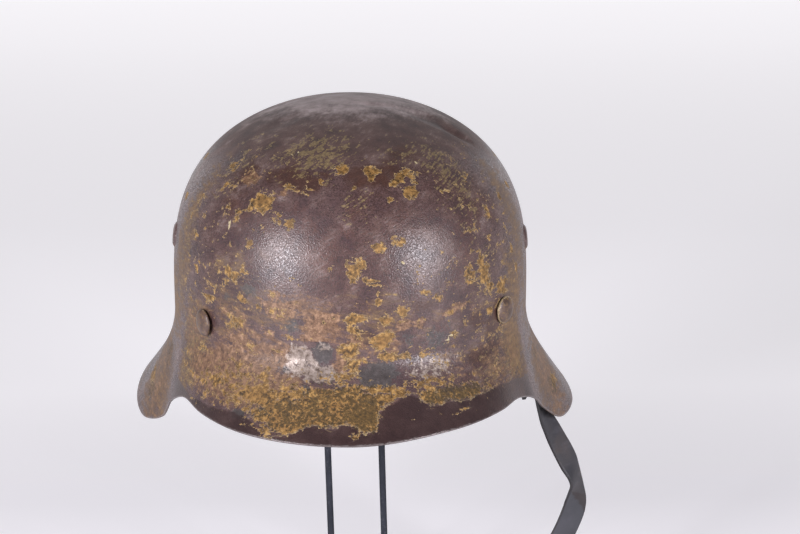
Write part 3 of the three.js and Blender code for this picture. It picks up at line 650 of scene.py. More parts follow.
def layered_material(name, patterns, layers):
    """A material of layers. Each lies where its field, broken up by its patterns, is high enough."""
    material = bpy.data.materials.new(name)
    material.use_nodes = True
    tree = material.node_tree
    place = add_node(tree, "ShaderNodeTexCoord").outputs["Object"]
    noise = {}
    relief = 0
    for number, (pattern, (size, detail, rough, stretch, turn, bump)) in enumerate(patterns.items()):
        shift = [step * number for step in PATTERN_SHIFT]
        own_place = add_node(
            tree, "ShaderNodeMapping",
            {"Vector": place, "Location": shift, "Rotation": (0, math.radians(turn), 0), "Scale": stretch},
            vector_type="TEXTURE",
        ).outputs[0]
        noise[pattern] = add_node(
            tree, "ShaderNodeTexNoise",
            {"Vector": own_place, "Scale": 1 / (size * MM), "Detail": detail, "Roughness": rough},
        ).outputs["Fac"]
        relief = add_node(
            tree, "ShaderNodeMath", {0: noise[pattern], 1: bump * MM, 2: relief}, operation="MULTIPLY_ADD"
        ).outputs[0]
    colour = linear("#000000")
    roughness = 0.5
    metallic = 0
    for field, breaks, low, high, share, shade, stops, rough, metal, height, *ends in layers:
        cover = add_node(tree, "ShaderNodeAttribute", attribute_name=field).outputs["Fac"]
        level = 0
        for pattern, amount in breaks:
            cover = add_node(
                tree, "ShaderNodeMath", {0: noise[pattern], 1: amount, 2: cover}, operation="MULTIPLY_ADD"
            ).outputs[0]
            level += amount / 2
        for end in ends:
            share = add_node(
                tree, "ShaderNodeMapRange",
                {"Value": cover, "From Min": level + end, "From Max": level + end + high - low,
                 "To Min": share, "To Max": 0},
            ).outputs["Result"]
        mask = add_node(
            tree, "ShaderNodeMapRange",
            {"Value": cover, "From Min": level + low, "From Max": level + high, "To Max": share},
            interpolation_type="SMOOTHSTEP",
        ).outputs["Result"]
        paint = add_node(tree, "ShaderNodeValToRGB", {0: noise[shade]})
        stop_list = paint.color_ramp.elements
        stop_list[0].position = stops[0][0]
        stop_list[0].color = linear(stops[0][1])
        stop_list[1].position = stops[-1][0]
        stop_list[1].color = linear(stops[-1][1])
        for position, hex_colour in stops[1:-1]:
            stop_list.new(position).color = linear(hex_colour)
        colour = add_node(
            tree, "ShaderNodeMix", {0: mask, 6: colour, 7: paint.outputs["Color"]}, data_type="RGBA"
        ).outputs[2]
        roughness = add_node(tree, "ShaderNodeMix", {0: mask, 2: roughness, 3: rough}).outputs[0]
        metallic = add_node(tree, "ShaderNodeMix", {0: mask, 2: metallic, 3: metal}).outputs[0]
        relief = add_node(
            tree, "ShaderNodeMath", {0: mask, 1: height * MM, 2: relief}, operation="MULTIPLY_ADD"
        ).outputs[0]
    bump = add_node(tree, "ShaderNodeBump", {"Strength": 1, "Distance": 1, "Height": relief})
    surface = tree.nodes["Principled BSDF"]
    looks = {"Base Color": colour, "Roughness": roughness, "Metallic": metallic, "Normal": bump.outputs[0]}
    for socket, value in looks.items():
        tree.links.new(value, surface.inputs[socket])
    return material


# Rust-browned steel under the rest of a sand-coloured paint: a satin brown skin with fine pits that
# sparkle in the light, matt ochre chips with pale broken edges, and grey metal where it is rubbed,
# painted paler where the soft boxes' highlight falls on the visor's flare. The crown is pale with dust
# and with a painted reflection of the bright room, and the dark stains carry some painted shade.
EVEN = (1, 1, 1)
# a layer with no field, no breaks and a start below zero lies everywhere
EVERYWHERE = ("", (), -2, -1)
# size in millimetres, detail, roughness, stretch, turn, how deep it goes in millimetres
SHELL_PATTERNS = {
    "cloud": (46, 3, 0.5, EVEN, 0, 0), "stain": (19, 5, 0.62, EVEN, 0, 0),
    "mottle": (11, 5, 0.6, EVEN, 0, 0.1), "ragged": (6.5, 6, 0.68, EVEN, 0, 0),
    "scrape": (2.4, 5, 0.65, (4, 4, 1), 6, 0.02),
    "chip": (3.6, 5, 0.7, EVEN, 0, 0.02), "pit": (2.3, 4, 0.65, EVEN, 0, 0.03),
    "speck": (1.3, 4, 0.6, EVEN, 0, 0), "scratch": (1.1, 4, 0.6, (5, 5, 1), -28, 0.01),
    "grain": (0.75, 1.5, 0.5, EVEN, 0, 0.16),
}
OCHRE_BREAKS = (("ragged", 2.6), ("chip", 2.4), ("scrape", 2), ("speck", 1.2))
# field, patterns that break it up, where it starts and is full, share, pattern and colours, roughness,
# metal, height in millimetres and, for a line, where it ends again
SHELL_LAYERS = (
    (*EVERYWHERE, 1, "mottle", ((0.3, "#37282a"), (0.5, "#493430"), (0.68, "#5b463f")), 0.4, 0, 0),
    ("", (("cloud", 3),), -0.1, 0.5, 0.4, "pit", ((0.3, "#493b3d"), (0.7, "#605153")), 0.38, 0, 0),
    ("", (("stain", 3), ("pit", 1)), 0.1, 0.5, 0.4, "pit", ((0.3, "#472c26"), (0.7, "#613f33")), 0.4, 0, 0),
    ("", (("grain", 3),), 0.05, 0.35, 0.8, "mottle", ((0.3, "#48383a"), (0.7, "#675350")), 0.16, 0, 0),
    ("", (("grain", -3),), 0.1, 0.4, 0.7, "mottle", ((0.3, "#231818"), (0.7, "#382a28")), 0.5, 0, 0),
    ("matt", (("mottle", 0.5),), 0, 0.8, 0.9, "mottle",
     ((0.3, "#382a28"), (0.5, "#4a3733"), (0.7, "#5c4842")), 0.7, 0, 0),
    # pale dust on the crown, which is also a painted reflection of the bright room
    ("crown", (("mottle", 1), ("scratch", 1)), 0, 1, 0.9, "mottle",
     ((0.3, "#7f7170"), (0.5, "#968886"), (0.7, "#aa9c9b")), 0.7, 0, 0),
    # dark stains, partly painted shade
    ("dark", (("stain", 2), ("scrape", 1.6)), 0.3, 1, 0.75, "chip",
     ((0.3, "#2f1c17"), (0.7, "#482d22")), 0.46, 0, 0),
    ("film", (("mottle", 2), ("scrape", 2.4)), 0.1, 0.9, 0.72, "scrape",
     ((0.36, "#3d2c22"), (0.5, "#53402d"), (0.64, "#6b5337")), 0.58, 0, 0),
    ("olive", (("scratch", 6), ("ragged", 3), ("speck", 3)), 0.95, 1.4, 0.6, "speck",
     ((0.4, "#635435"), (0.7, "#917d54")), 0.55, 0, 0.01),
    ("film", (("speck", 3.4), ("stain", 2.4), ("pit", 2)), 0.9, 1.2, 0.5, "pit",
     ((0.4, "#614629"), (0.6, "#80643c")), 0.6, 0, 0.02),
    ("slate", (("ragged", 2.6), ("chip", 2), ("speck", 1)), 0.45, 0.8, 0.8, "pit",
     ((0.3, "#322f2e"), (0.55, "#444140"), (0.75, "#5a5554")), 0.36, 0.1, -0.04),
    ("wash", (("scrape", 2.6), ("chip", 2.2), ("speck", 1.6)), 0.25, 0.95, 0.88, "pit",
     ((0.34, "#432e22"), (0.44, "#5f4431"), (0.5, "#6d513b"), (0.515, "#493225"), (0.53, "#71553f"),
      (0.68, "#8b6a50")), 0.58, 0, 0.02),
    ("tan", (("scrape", 2), ("ragged", 2.4), ("chip", 2.2)), 0.46, 0.54, 0.9, "pit",
     ((0.34, "#382518"), (0.43, "#60442f"), (0.485, "#6f523b"), (0.5, "#402b1f"), (0.515, "#745640"),
      (0.59, "#80624a"), (0.68, "#95765c")), 0.55, 0, 0.06),
    ("bare", (("ragged", 0.8),), 0.4, 0.7, 0.85, "mottle",
     ((0.32, "#2a1d1d"), (0.66, "#3a2b2a")), 0.3, 0, 0),
    # rubbed grey metal, partly a painted highlight of the soft boxes on the flare
    ("silver", (("ragged", 2), ("chip", 2.2), ("pit", 2)), 0.35, 0.75, 0.88, "pit",
     ((0.34, "#473931"), (0.45, "#72645a"), (0.56, "#8b7e75"), (0.74, "#a5988f")), 0.34, 0.25, 0.02),
    ("chips", OCHRE_BREAKS, 0.46, 0.5, 0.75, "speck",
     ((0.35, "#6b5536"), (0.65, "#b5996b")), 0.6, 0, 0.08),
    ("ochre", OCHRE_BREAKS, 0.44, 0.49, 0.75, "speck",
     ((0.35, "#665032"), (0.65, "#b39766")), 0.6, 0, 0.06),
    ("ochre", OCHRE_BREAKS, 0.54, 0.61, 1, "pit",
     ((0.36, "#33230e"), (0.43, "#5a411e"), (0.48, "#715328"), (0.497, "#3d2a13"), (0.514, "#7a5a2d"),
      (0.58, "#8c6b39"), (0.66, "#a5834e")), 0.64, 0, 0.06),
    ("ochre", (("stain", 2.4), ("pit", 2)), 0.9, 1.4, 0.6, "speck",
     ((0.36, "#573d1b"), (0.5, "#745328"), (0.64, "#8d693a")), 0.64, 0, 0),
    ("pitted", (("speck", -4), ("chip", -3), ("ragged", 2)), 0.65, 1.1, 0.82, "speck",
     ((0.4, "#32260f"), (0.6, "#533f1d")), 0.6, 0, -0.06),
    ("lip", (("ragged", 5), ("chip", 3)), -0.3, -0.1, 0.6, "chip",
     ((0.4, "#43362a"), (0.5, "#746249"), (0.6, "#a08d68")), 0.6, 0, 0.03, 0.1),
    ("fleck", (("chip", 1),), 0.5, 0.7, 0.9, "speck", ((0.4, "#988966"), (0.6, "#beb08c")), 0.6, 0, 0.03),
    # the raw edge rubbed bare, and a painted highlight line along it
    ("rim", (("pit", 1.5),), 0.5, 0.75, 0.6, "speck", ((0.4, "#6b6361"), (0.6, "#8b8381")), 0.35, 0.6, 0),
    ("inside", (), 0.5, 0.51, 1, "mottle", ((0.3, "#2a2320"), (0.7, "#3d3430")), 0.75, 0, 0),
)
shell_finish = layered_material("browned_steel_with_worn_paint", SHELL_PATTERNS, SHELL_LAYERS)
dress(helmet_shell, SHELL_CREASE, shell_finish, "helmet_shell")

# Strap lug: a short band of strip steel that the right rivet holds against the inside of the wall.
# A flat tongue hangs from it, with a slot for the chin strap.
LUG_STEEL = 1.5
LUG_GAP = 0.4
LUG_FROM = 40
LUG_TO = 92
LUG_LOW = 36.6
LUG_HIGH = 50.6
TONGUE_ANGLE = 80
TONGUE_REACH = 92.25
TONGUE_WIDTH = 21
TONGUE_LOW = 9
TONGUE_HIGH = 44
SLOT_WIDTH = 15.6
SLOT_LOW = 14
SLOT_HIGH = 19.6
LUG_ROUND = 0.3
LUG_EDGE_ANGLE = 50
LUG_CREASE = 40
LUG_GRID = (40, 6)


def block(name, low, high):
    """A block between two corners, given in millimetres."""
    middle = (Vector(low) + Vector(high)) / 2 * MM
    bpy.ops.mesh.primitive_cube_add(size=1, location=middle, scale=(Vector(high) - Vector(low)) * MM)
    piece = bpy.context.object
    piece.name = name
    bpy.ops.object.transform_apply()
    return piece


def cut(piece, *cutters):
    """Cuts the cutters out of a piece and removes them."""
    for cutter in cutters:
        add_modifier(piece, "BOOLEAN", operation="DIFFERENCE", solver="EXACT", object=cutter)
        bpy.data.objects.remove(cutter)


bpy.ops.mesh.primitive_grid_add(x_subdivisions=LUG_GRID[0], y_subdivisions=LUG_GRID[1], size=2)
strap_lug = bpy.context.object
strap_lug.name = "strap_lug_band"
grid = vertex_places(strap_lug)
lug_angle = np.radians(np.interp(grid[:, 0], (-1, 1), (LUG_FROM, LUG_TO)))
lug_run = run_at_height(lug_angle, np.interp(grid[:, 1], (-1, 1), (LUG_LOW, LUG_HIGH)))
lug_points = bowl(lug_angle, lug_run) - bowl_normal(lug_angle, lug_run) * (SHELL_STEEL + LUG_GAP)
strap_lug.data.vertices.foreach_set("co", in_frame(lug_points).ravel())
thicken(strap_lug, LUG_STEEL)
tongue = block(
    "tongue",
    (-TONGUE_WIDTH / 2, TONGUE_REACH - LUG_STEEL / 2, TONGUE_LOW),
    (TONGUE_WIDTH / 2, TONGUE_REACH + LUG_STEEL / 2, TONGUE_HIGH),
)
cut(tongue, block(
    "slot",
    (-SLOT_WIDTH / 2, TONGUE_REACH - 2 * LUG_STEEL, SLOT_LOW),
    (SLOT_WIDTH / 2, TONGUE_REACH + 2 * LUG_STEEL, SLOT_HIGH),
))
swing = Matrix.Rotation(math.radians(TONGUE_ANGLE - 180), 4, "Z")
put(tongue, Matrix.Translation((0, 0, LIP_HEIGHT * MM)) @ swing)
join(strap_lug, tongue)
round_edges(strap_lug, LUG_ROUND, LUG_EDGE_ANGLE, steps=2)

# Strip steel, rolled and browned with age: dull grey-brown metal with rust in its pits.
LUG_PATTERNS = {
    "streak": (1, 5, 0.6, (9, 9, 1), 0, 0), "rust": (3, 6, 0.7, EVEN, 0, 0.06),
}
LUG_LAYERS = (
    (*EVERYWHERE, 1, "streak", ((0.35, "#3b3430"), (0.65, "#5d544e")), 0.42, 0.7, 0),
    ("", (("rust", 3), ("streak", 1)), 0.1, 0.4, 0.9, "rust",
     ((0.5, "#4a2e20"), (0.7, "#6a452e")), 0.75, 0, 0.02),
)
lug_finish = layered_material("browned_strip_steel", LUG_PATTERNS, LUG_LAYERS)
dress(strap_lug, LUG_CREASE, lug_finish, "strap_lug")

# Liner rivets: domed steel split rivets with their prongs bent flat inside the shell. The front ones
# sit loose and lean, so a dark gap shows beside them. The right one also holds the lug.
# name, angle, height, lift off the wall, tilt, thickness that it grips, how rubbed its edge is
RIVETS = (
    ("rivet_front_left", -44.7, 40, 0.55, -5, SHELL_STEEL, 0.4),
    ("rivet_front_right", 48.2, 43.6, 0.7, -6, SHELL_STEEL + LUG_GAP + LUG_STEEL, 1),
    ("rivet_back", 180, 41, 0, 0, SHELL_STEEL, 0.5),
)
RIVET_GAP = 0.3
# radius, height over the wall
RIVET_HEAD = (
    (6.3, 0.3), (6.75, 0.36), (7, 0.62), (7, 0.9), (6.85, 1.2), (6.4, 1.6), (5.7, 1.98), (4.7, 2.34),
    (3.5, 2.62), (2.2, 2.8), (1, 2.88), (CLOSED, 2.9),
)
# radii between which the head's edge gets more and more rubbed
RIVET_RUBBED = (6.2, 6.8)
RIVET_CREASE = 40
RIVET_SIDES = 64
SHANK_RADIUS = 2.3
PRONG_WIDTH = 4
PRONG_REACH = 11
PRONG_STEEL = 1
PRONG_ROUND = 0.25
PRONG_EDGE_ANGLE = 30

# Rivet steel under the same old paint: brown with specks of ochre, and rubbed bright round the edge.
RIVET_PATTERNS = {
    "patina": (4, 5, 0.65, EVEN, 0, 0.04), "speckle": (1.2, 4, 0.6, EVEN, 0, 0.1),
}
RIVET_LAYERS = (
    (*EVERYWHERE, 1, "patina", ((0.32, "#38291f"), (0.5, "#4e3b33"), (0.68, "#665246")), 0.4, 0.1, 0),
    ("", (("speckle", 3),), 0.1, 0.4, 0.6, "speckle", ((0.5, "#6a5230"), (0.7, "#8a6f42")), 0.6, 0, 0),
    ("edge", (("patina", 2), ("speckle", 1.2)), 0.5, 0.8, 0.85, "speckle",
     ((0.4, "#8a7758"), (0.65, "#b7a383")), 0.45, 0.3, 0),
)
rivet_finish = layered_material("worn_rivet_steel", RIVET_PATTERNS, RIVET_LAYERS)

for name, angle, height, lifted, tilt, grip, rubbed in RIVETS:
    back = -(grip + lifted) - 2 * RIVET_GAP - PRONG_STEEL
    shank = ((CLOSED, back), (SHANK_RADIUS, back), (SHANK_RADIUS, RIVET_GAP))
    rivet = turned(f"{name}_split", shank + RIVET_HEAD, RIVET_SIDES)
    from_middle = np.hypot(*(vertex_places(rivet)[:, :2].T / MM))
    keep_field(rivet, "edge", rubbed * np.interp(from_middle, RIVET_RUBBED, (0, 1)))
    prongs = block(
        "prongs", (-PRONG_WIDTH / 2, -PRONG_REACH, back), (PRONG_WIDTH / 2, PRONG_REACH, back + PRONG_STEEL)
    )
    round_edges(prongs, PRONG_ROUND, PRONG_EDGE_ANGLE, steps=2)
    join(rivet, prongs)
    leaning = Matrix.Translation((0, 0, lifted * MM)) @ Matrix.Rotation(math.radians(tilt), 4, "Y")
    put(rivet, wall_place(angle, height) @ leaning)
    dress(rivet, RIVET_CREASE, rivet_finish, name)

# Chin strap: one strip of dark belt leather, looped over the lug's bar and left hanging. It twists
# once on its way down, and its end is cut to a short taper.
STRAP_LEATHER = 2
STRAP_CREASE = 50
# distance from an end, half of the width there
STRAP_TAPER = ((0, 4.5), (1.5, 5.4), (9, 7))
# shares of half the width between which the edge gets burnished
STRAP_BURNISHED = (0.85, 0.97)
# the leather's other face comes to the front below a fold: its drop under the lip at the left edge, how
# much lower the fold's painted shade and the face start for each half of the width, and how soft they are
FOLD_DROP = 80
FOLD_SLANT = (3.2, 7.5)
FOLD_SOFT = 3
STRAP_STEPS = 7
# x, y, height, turn of the width from +X
STRAP = (
    (94.6, -20, -24, 76), (92.3, -18.2, -10, 78), (89.6, -16.2, 4, 80), (88.4, -15.6, 13, 80),
    (89.2, -15.7, 15.9, 80), (90.9, -16, 16.9, 80), (92.5, -16.3, 15.9, 80), (93.3, -16.5, 13, 80),
    (93.9, -16.9, 4, 81), (95.6, -17.8, -6, 83), (98.7, -18.5, -16, 83), (101.3, -17.9, -23, 80),
    (103.6, -17.4, -30, 73), (106.5, -16.8, -37, 61), (109.9, -16.3, -44, 52), (113.3, -15.7, -51, 46),
    (116.9, -15.2, -58, 42), (120.3, -14.8, -65, 44), (123, -14.6, -71, 57), (124.5, -14.5, -76, 61),
    (124.8, -14.3, -80, 53), (124.8, -14.2, -84, 41), (124.7, -14.1, -88, 28), (124.1, -13.9, -93, 19),
    (122.4, -13.8, -99, 15), (119.4, -13.5, -107, 14), (115.3, -13.3, -116, 14), (111.4, -13, -125, 14),
)
# a quarter of the section, across the width and through the leather, as shares of their halves
STRAP_QUARTER = ((-1, -0.3), (-0.985, -0.7), (-0.94, -0.94), (-0.85, -1), (-0.5, -1))


def smooth_rows(rows, steps):
    """The rows of a table with even steps between them, on a smooth curve through each row."""
    rows = np.array(rows, float)
    ends = np.vstack([2 * rows[0] - rows[1], rows, 2 * rows[-1] - rows[-2]])
    out = []
    for a, b, c, d in zip(ends, ends[1:], ends[2:], ends[3:]):
        for t in np.arange(steps) / steps:
            bend = (2 * a - 5 * b + 4 * c - d) * t ** 2 + (3 * b - a - 3 * c + d) * t ** 3
            out.append(0.5 * (2 * b + (c - a) * t + bend))
    return np.vstack([out, rows[-1]])


strap_rows = smooth_rows(STRAP, STRAP_STEPS)
strap_middle = in_frame(strap_rows[:, :3])
strap_ahead = np.gradient(strap_middle, axis=0)
strap_ahead /= np.linalg.norm(strap_ahead, axis=1, keepdims=True)
strap_turn = np.radians(strap_rows[:, 3])
strap_across = np.stack([np.cos(strap_turn), np.sin(strap_turn), np.zeros(len(strap_turn))], 1)
strap_across -= strap_ahead * np.sum(strap_across * strap_ahead, axis=1, keepdims=True)
strap_across /= np.linalg.norm(strap_across, axis=1, keepdims=True)
strap_through = np.cross(strap_ahead, strap_across)
strap_along = np.concatenate([[0], np.cumsum(np.linalg.norm(np.diff(strap_middle, axis=0), axis=1))])
to_end = np.minimum(strap_along, strap_along[-1] - strap_along) / MM
half_width = np.interp(to_end, *np.array(STRAP_TAPER).T) * MM
back_face = [*STRAP_QUARTER, (0, -1), *((-across, through) for across, through in reversed(STRAP_QUARTER))]
section = np.array(back_face + [(-across, -through) for across, through in back_face])
strap_points = (
    strap_middle[:, None]
    + strap_across[:, None] * (half_width[:, None] * section[:, 0])[:, :, None]
    + strap_through[:, None] * (STRAP_LEATHER / 2 * MM * section[:, 1])[None, :, None]
)
corners = len(section)
strap_faces = [
    (row * corners + i, row * corners + (i + 1) % corners,
     (row + 1) * corners + (i + 1) % corners, (row + 1) * corners + i)
    for row in range(len(strap_rows) - 1) for i in range(corners)
]
last = (len(strap_rows) - 1) * corners
strap_faces += [tuple(reversed(range(corners))), tuple(range(last, last + corners))]
strap_mesh = bpy.data.meshes.new("chin_strap_leather")
strap_mesh.from_pydata(strap_points.reshape(-1, 3).tolist(), [], strap_faces)
chin_strap = bpy.data.objects.new("chin_strap_leather", strap_mesh)
bpy.context.scene.collection.objects.link(chin_strap)
strap_drop = -np.repeat(strap_rows[:, 2], corners)
strap_right = np.tile(section[:, 0] + 1, len(strap_rows))
strap_fold_shade = strap_drop - FOLD_DROP - FOLD_SLANT[0] * strap_right
strap_face = strap_drop - FOLD_DROP - FOLD_SLANT[1] * strap_right
keep_field(chin_strap, "fold", np.clip(FIELD_EDGE + strap_fold_shade / FOLD_SOFT, 0, 1))
keep_field(chin_strap, "face", np.clip(FIELD_EDGE + strap_face / FOLD_SOFT, 0, 1))
to_edge = np.interp(np.abs(section[:, 0]), STRAP_BURNISHED, (0, 1))
keep_field(chin_strap, "edge", np.tile(to_edge, len(strap_rows)))
pick(chin_strap)
face_outward()

# Belt leather, tanned, dyed black and dried out: a grey-brown bloom on a dark skin, a fine pebbled
# grain, creases across the bends, burnished edges, a painted shade just below the fold and a bluer other
# face.
LEATHER_PATTERNS = {
    "bloom": (17, 4, 0.55, EVEN, 0, 0), "crease": (3.5, 3, 0.6, (5, 5, 1), 0, 0.08),
    "grain": (1.1, 3, 0.5, EVEN, 0, 0.1),
}
LEATHER_LAYERS = (
    (*EVERYWHERE, 1, "bloom", ((0.38, "#2c2b30"), (0.5, "#363234"), (0.64, "#403634")), 0.5, 0, 0),
    ("", (("crease", 3),), 0.1, 0.5, 0.25, "grain", ((0.4, "#454247"), (0.6, "#56535a")), 0.58, 0, 0),
    # painted shade of the twist, just below the fold
    ("fold", (), 0.3, 0.7, 0.9, "bloom", ((0.4, "#221b1c"), (0.6, "#2b2222")), 0.55, 0, 0),
    ("face", (), 0.3, 0.7, 0.95, "bloom", ((0.38, "#313237"), (0.62, "#3c3c42")), 0.52, 0, 0),
    ("edge", (("grain", 0.5),), 0.4, 0.8, 0.6, "bloom", ((0.4, "#1f1c1e"), (0.6, "#2b2729")), 0.42, 0, 0),
)
leather = layered_material("dried_black_belt_leather", LEATHER_PATTERNS, LEATHER_LAYERS)
dress(chin_strap, STRAP_CREASE, leather, "chin_strap")

# Stand base: a plain flat steel plate with rounded corners, blacked and set on the floor, with a
# blind hole for the foot of each rod.
BASE_WIDTH = 150
BASE_DEPTH = 120
BASE_HEIGHT = 6
BASE_CORNER = 8
BASE_CORNER_STEPS = 8
BASE_ROUND = 0.8
BASE_EDGE_ANGLE = 60
BASE_CREASE = 35
ROD_WIDTH = 3.7
ROD_SPACING = 30.2
ROD_FOOT_X = 3.9
ROD_LEAN = math.radians(-1.38)
ROD_SEAT = 4.5
ROD_PLAY = 0.3
ROD_SIDES = 32

# Blacked steel: a thin matt blue-black lacquer, dusty and rubbed a little.
STAND_PATTERNS = {
    "cloudy": (22, 5, 0.6, EVEN, 0, 0), "peel": (1.4, 3, 0.5, EVEN, 0, 0.03),
}
STAND_LAYERS = (
    (*EVERYWHERE, 1, "cloudy", ((0.36, "#22242b"), (0.64, "#2d2f37")), 0.8, 0, 0),
    ("", (("peel", 3), ("cloudy", 1)), 0.25, 0.5, 0.3, "peel",
     ((0.4, "#44464d"), (0.7, "#5a5c62")), 0.85, 0, 0),
)
STAND_SPECULAR = 0.25
stand_black = layered_material("blacked_steel", STAND_PATTERNS, STAND_LAYERS)
stand_black.node_tree.nodes["Principled BSDF"].inputs["Specular IOR Level"].default_value = STAND_SPECULAR


def rod_place(side):
    """Where the left rod, -1, or the right rod, 1, stands and how it leans."""
    foot = Vector((ROD_FOOT_X + side * ROD_SPACING / 2, 0, 0)) * MM
    return Matrix.Translation(foot) @ Matrix.Rotation(ROD_LEAN, 4, "Y")


stand_base = block(
    "stand_base_plate", (-BASE_WIDTH / 2, -BASE_DEPTH / 2, 0), (BASE_WIDTH / 2, BASE_DEPTH / 2, BASE_HEIGHT)
)
bpy.ops.object.mode_set(mode="EDIT")
bpy.ops.mesh.select_mode(type="EDGE")
bpy.ops.mesh.select_all(action="DESELECT")
bpy.ops.object.mode_set(mode="OBJECT")
for edge in stand_base.data.edges:
    ends = [stand_base.data.vertices[i].co for i in edge.vertices]
    edge.select = abs(ends[0].z - ends[1].z) > BASE_HEIGHT / 2 * MM
bpy.ops.object.mode_set(mode="EDIT")
bpy.ops.mesh.bevel(offset=BASE_CORNER * MM, segments=BASE_CORNER_STEPS)
bpy.ops.object.mode_set(mode="OBJECT")
rod_bore = ROD_WIDTH / 2 + ROD_PLAY
seat_low = BASE_HEIGHT - ROD_SEAT
seat_high = 2 * BASE_HEIGHT
seat_outline = ((CLOSED, seat_low), (rod_bore, seat_low), (rod_bore, seat_high), (CLOSED, seat_high))
for side in (-1, 1):
    seat = turned("seat", seat_outline, ROD_SIDES)
    put(seat, rod_place(side))
    cut(stand_base, seat)
round_edges(stand_base, BASE_ROUND, BASE_EDGE_ANGLE, steps=3)
dress(stand_base, BASE_CREASE, stand_black, "stand_base")

# Stand rods: two straight lengths of thin blacked steel rod, which lean a little to the left and
# carry the helmet. Their ends are chamfered and stand in the base's holes and the saddle's sockets.
ROD_TOP = 292.3
ROD_CHAMFER = 0.4
ROD_CREASE = 30
rod_low = seat_low + ROD_PLAY
rod_high = ROD_TOP - ROD_PLAY
rod_outline = (
    (CLOSED, rod_low), (ROD_WIDTH / 2 - ROD_CHAMFER, rod_low), (ROD_WIDTH / 2, rod_low + ROD_CHAMFER),
    (ROD_WIDTH / 2, rod_high - ROD_CHAMFER), (ROD_WIDTH / 2 - ROD_CHAMFER, rod_high), (CLOSED, rod_high),
)
for name, side in (("stand_rod_left", -1), ("stand_rod_right", 1)):
    rod = turned(f"{name}_steel", rod_outline, ROD_SIDES)
    put(rod, rod_place(side))
    dress(rod, ROD_CREASE, stand_black, name)

# Stand saddle: a small domed steel plate under the crown, with a short socket for each rod, blacked
# like the rest of the stand. The helmet's crown rests on it.
SADDLE_STEEL = 3
# how deep under the shell's outside it lies, and the run that its edge is at
SADDLE_DEPTH = 2.9
SADDLE_EDGE = 0.13
SADDLE_ROUND = 0.6
SADDLE_EDGE_ANGLE = 60
SADDLE_CREASE = 35
SADDLE_ROWS = 12
SADDLE_SIDES = 64
SOCKET_WIDTH = 9
SOCKET_LENGTH = 16
SOCKET_CHAMFER = 0.4
SOCKET_SIDES = 40
saddle_runs = [SADDLE_EDGE * i / SADDLE_ROWS for i in range(SADDLE_ROWS + 1)]
stand_saddle = pressed_bowl("stand_saddle_plate", SADDLE_SIDES, saddle_runs, SADDLE_DEPTH, False)
thicken(stand_saddle, SADDLE_STEEL)
round_edges(stand_saddle, SADDLE_ROUND, SADDLE_EDGE_ANGLE, steps=3)
socket_low = ROD_TOP - SOCKET_LENGTH
socket_high = ROD_TOP + SADDLE_STEEL / 2
socket_outline = (
    (rod_bore, socket_low), (SOCKET_WIDTH / 2 - SOCKET_CHAMFER, socket_low),
    (SOCKET_WIDTH / 2, socket_low + SOCKET_CHAMFER), (SOCKET_WIDTH / 2, socket_high),
    (rod_bore, socket_high), (rod_bore, socket_low),
)
for side in (-1, 1):
    socket = turned("socket", socket_outline, SOCKET_SIDES)
    put(socket, rod_place(side))
    join(stand_saddle, socket)
dress(stand_saddle, SADDLE_CREASE, stand_black, "stand_saddle")

# Floor: plain pale paper with a painted glow, brighter towards the back, that stands in for light from
# below, so that it is as bright as the backdrop.
FLOOR_COLOUR = "#e4e2e5"
FLOOR_ROUGHNESS = 0.9
FLOOR_REACH = 6000 * MM
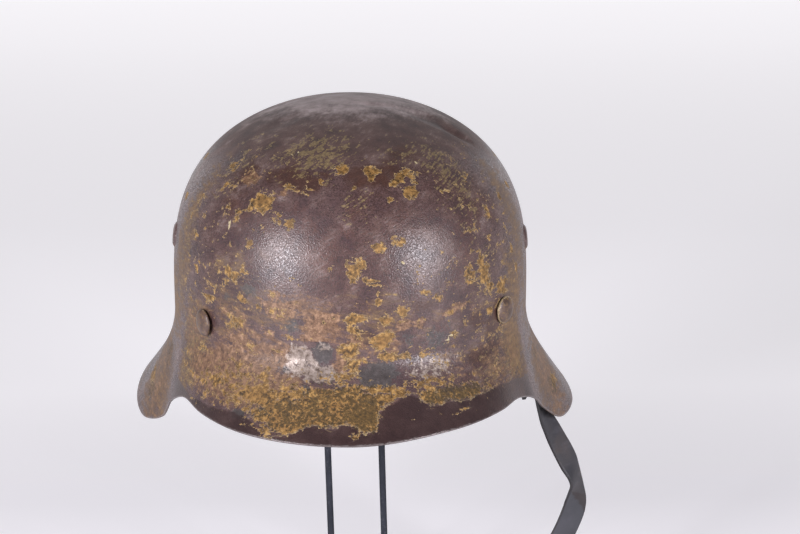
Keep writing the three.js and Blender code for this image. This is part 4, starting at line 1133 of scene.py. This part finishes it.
# distance behind the stand in metres, glow
FLOOR_GLOW = ((0.15, 0.23), (0.35, 0.48), (0.8, 0.52), (1.8, 0.81), (2.4, 0.93))
bpy.ops.mesh.primitive_plane_add(size=2 * FLOOR_REACH)
floor = bpy.context.object
floor.name = "floor"
pale_paper = bpy.data.materials.new("pale_paper")
pale_paper.use_nodes = True
tree = pale_paper.node_tree
surface = tree.nodes["Principled BSDF"]
surface.inputs["Base Color"].default_value = linear(FLOOR_COLOUR)
surface.inputs["Roughness"].default_value = FLOOR_ROUGHNESS
surface.inputs["Emission Color"].default_value = linear(FLOOR_COLOUR)
place = add_node(tree, "ShaderNodeTexCoord").outputs["Object"]
behind = add_node(tree, "ShaderNodeSeparateXYZ", {0: place}).outputs["Y"]
glow = FLOOR_GLOW[0][1]
for (near, near_glow), (far, far_glow) in zip(FLOOR_GLOW, FLOOR_GLOW[1:]):
    rise = add_node(
        tree, "ShaderNodeMapRange",
        {"Value": behind, "From Min": near, "From Max": far, "To Min": 0, "To Max": far_glow - near_glow},
    ).outputs["Result"]
    glow = add_node(tree, "ShaderNodeMath", {0: rise, 1: glow}, operation="ADD").outputs[0]
tree.links.new(glow, surface.inputs["Emission Strength"])
floor.data.materials.append(pale_paper)

# Light: two soft boxes in front, one on each side, in a room that is dim in front and bright behind.
# azimuth, elevation, distance, width and height in metres, power in watts
SOFT_BOXES = ((-43, 14, 1.3, 0.42, 0.56, 21.5), (46, 13, 1.3, 0.42, 0.56, 16.5))
BOX_COLOUR = "#faf8ff"
ROOM_COLOUR = "#f2f1f4"
# how far to the back a direction points, how bright the room is there
ROOM_DIM = (0.45, 0.13)
ROOM_BRIGHT = (1, 1.55)
LIGHT_AIM = Vector((0, 0, 240 * MM))
for azimuth, elevation, distance, width, height, power in SOFT_BOXES:
    away = toward(azimuth, elevation)
    bpy.ops.object.light_add(type="AREA", location=LIGHT_AIM + away * distance)
    box = bpy.context.object
    box.name = "soft_box"
    box.rotation_euler = (-away).to_track_quat("-Z", "Y").to_euler()
    box.data.shape = "RECTANGLE"
    box.data.size = width
    box.data.size_y = height
    box.data.energy = power
    box.data.color = linear(BOX_COLOUR)[:3]
room = bpy.data.worlds.new("studio_room")
room.use_nodes = True
tree = room.node_tree
direction = add_node(tree, "ShaderNodeTexCoord").outputs["Generated"]
to_back = add_node(tree, "ShaderNodeSeparateXYZ", {0: direction}).outputs["Y"]
room_light = add_node(
    tree, "ShaderNodeMapRange",
    {"Value": to_back, "From Min": ROOM_DIM[0], "From Max": ROOM_BRIGHT[0],
     "To Min": ROOM_DIM[1], "To Max": ROOM_BRIGHT[1]},
    interpolation_type="SMOOTHSTEP",
).outputs["Result"]
tree.links.new(room_light, tree.nodes["Background"].inputs["Strength"])
tree.nodes["Background"].inputs["Color"].default_value = linear(ROOM_COLOUR)
bpy.context.scene.world = room
bpy.context.scene.view_settings.view_transform = "Standard"
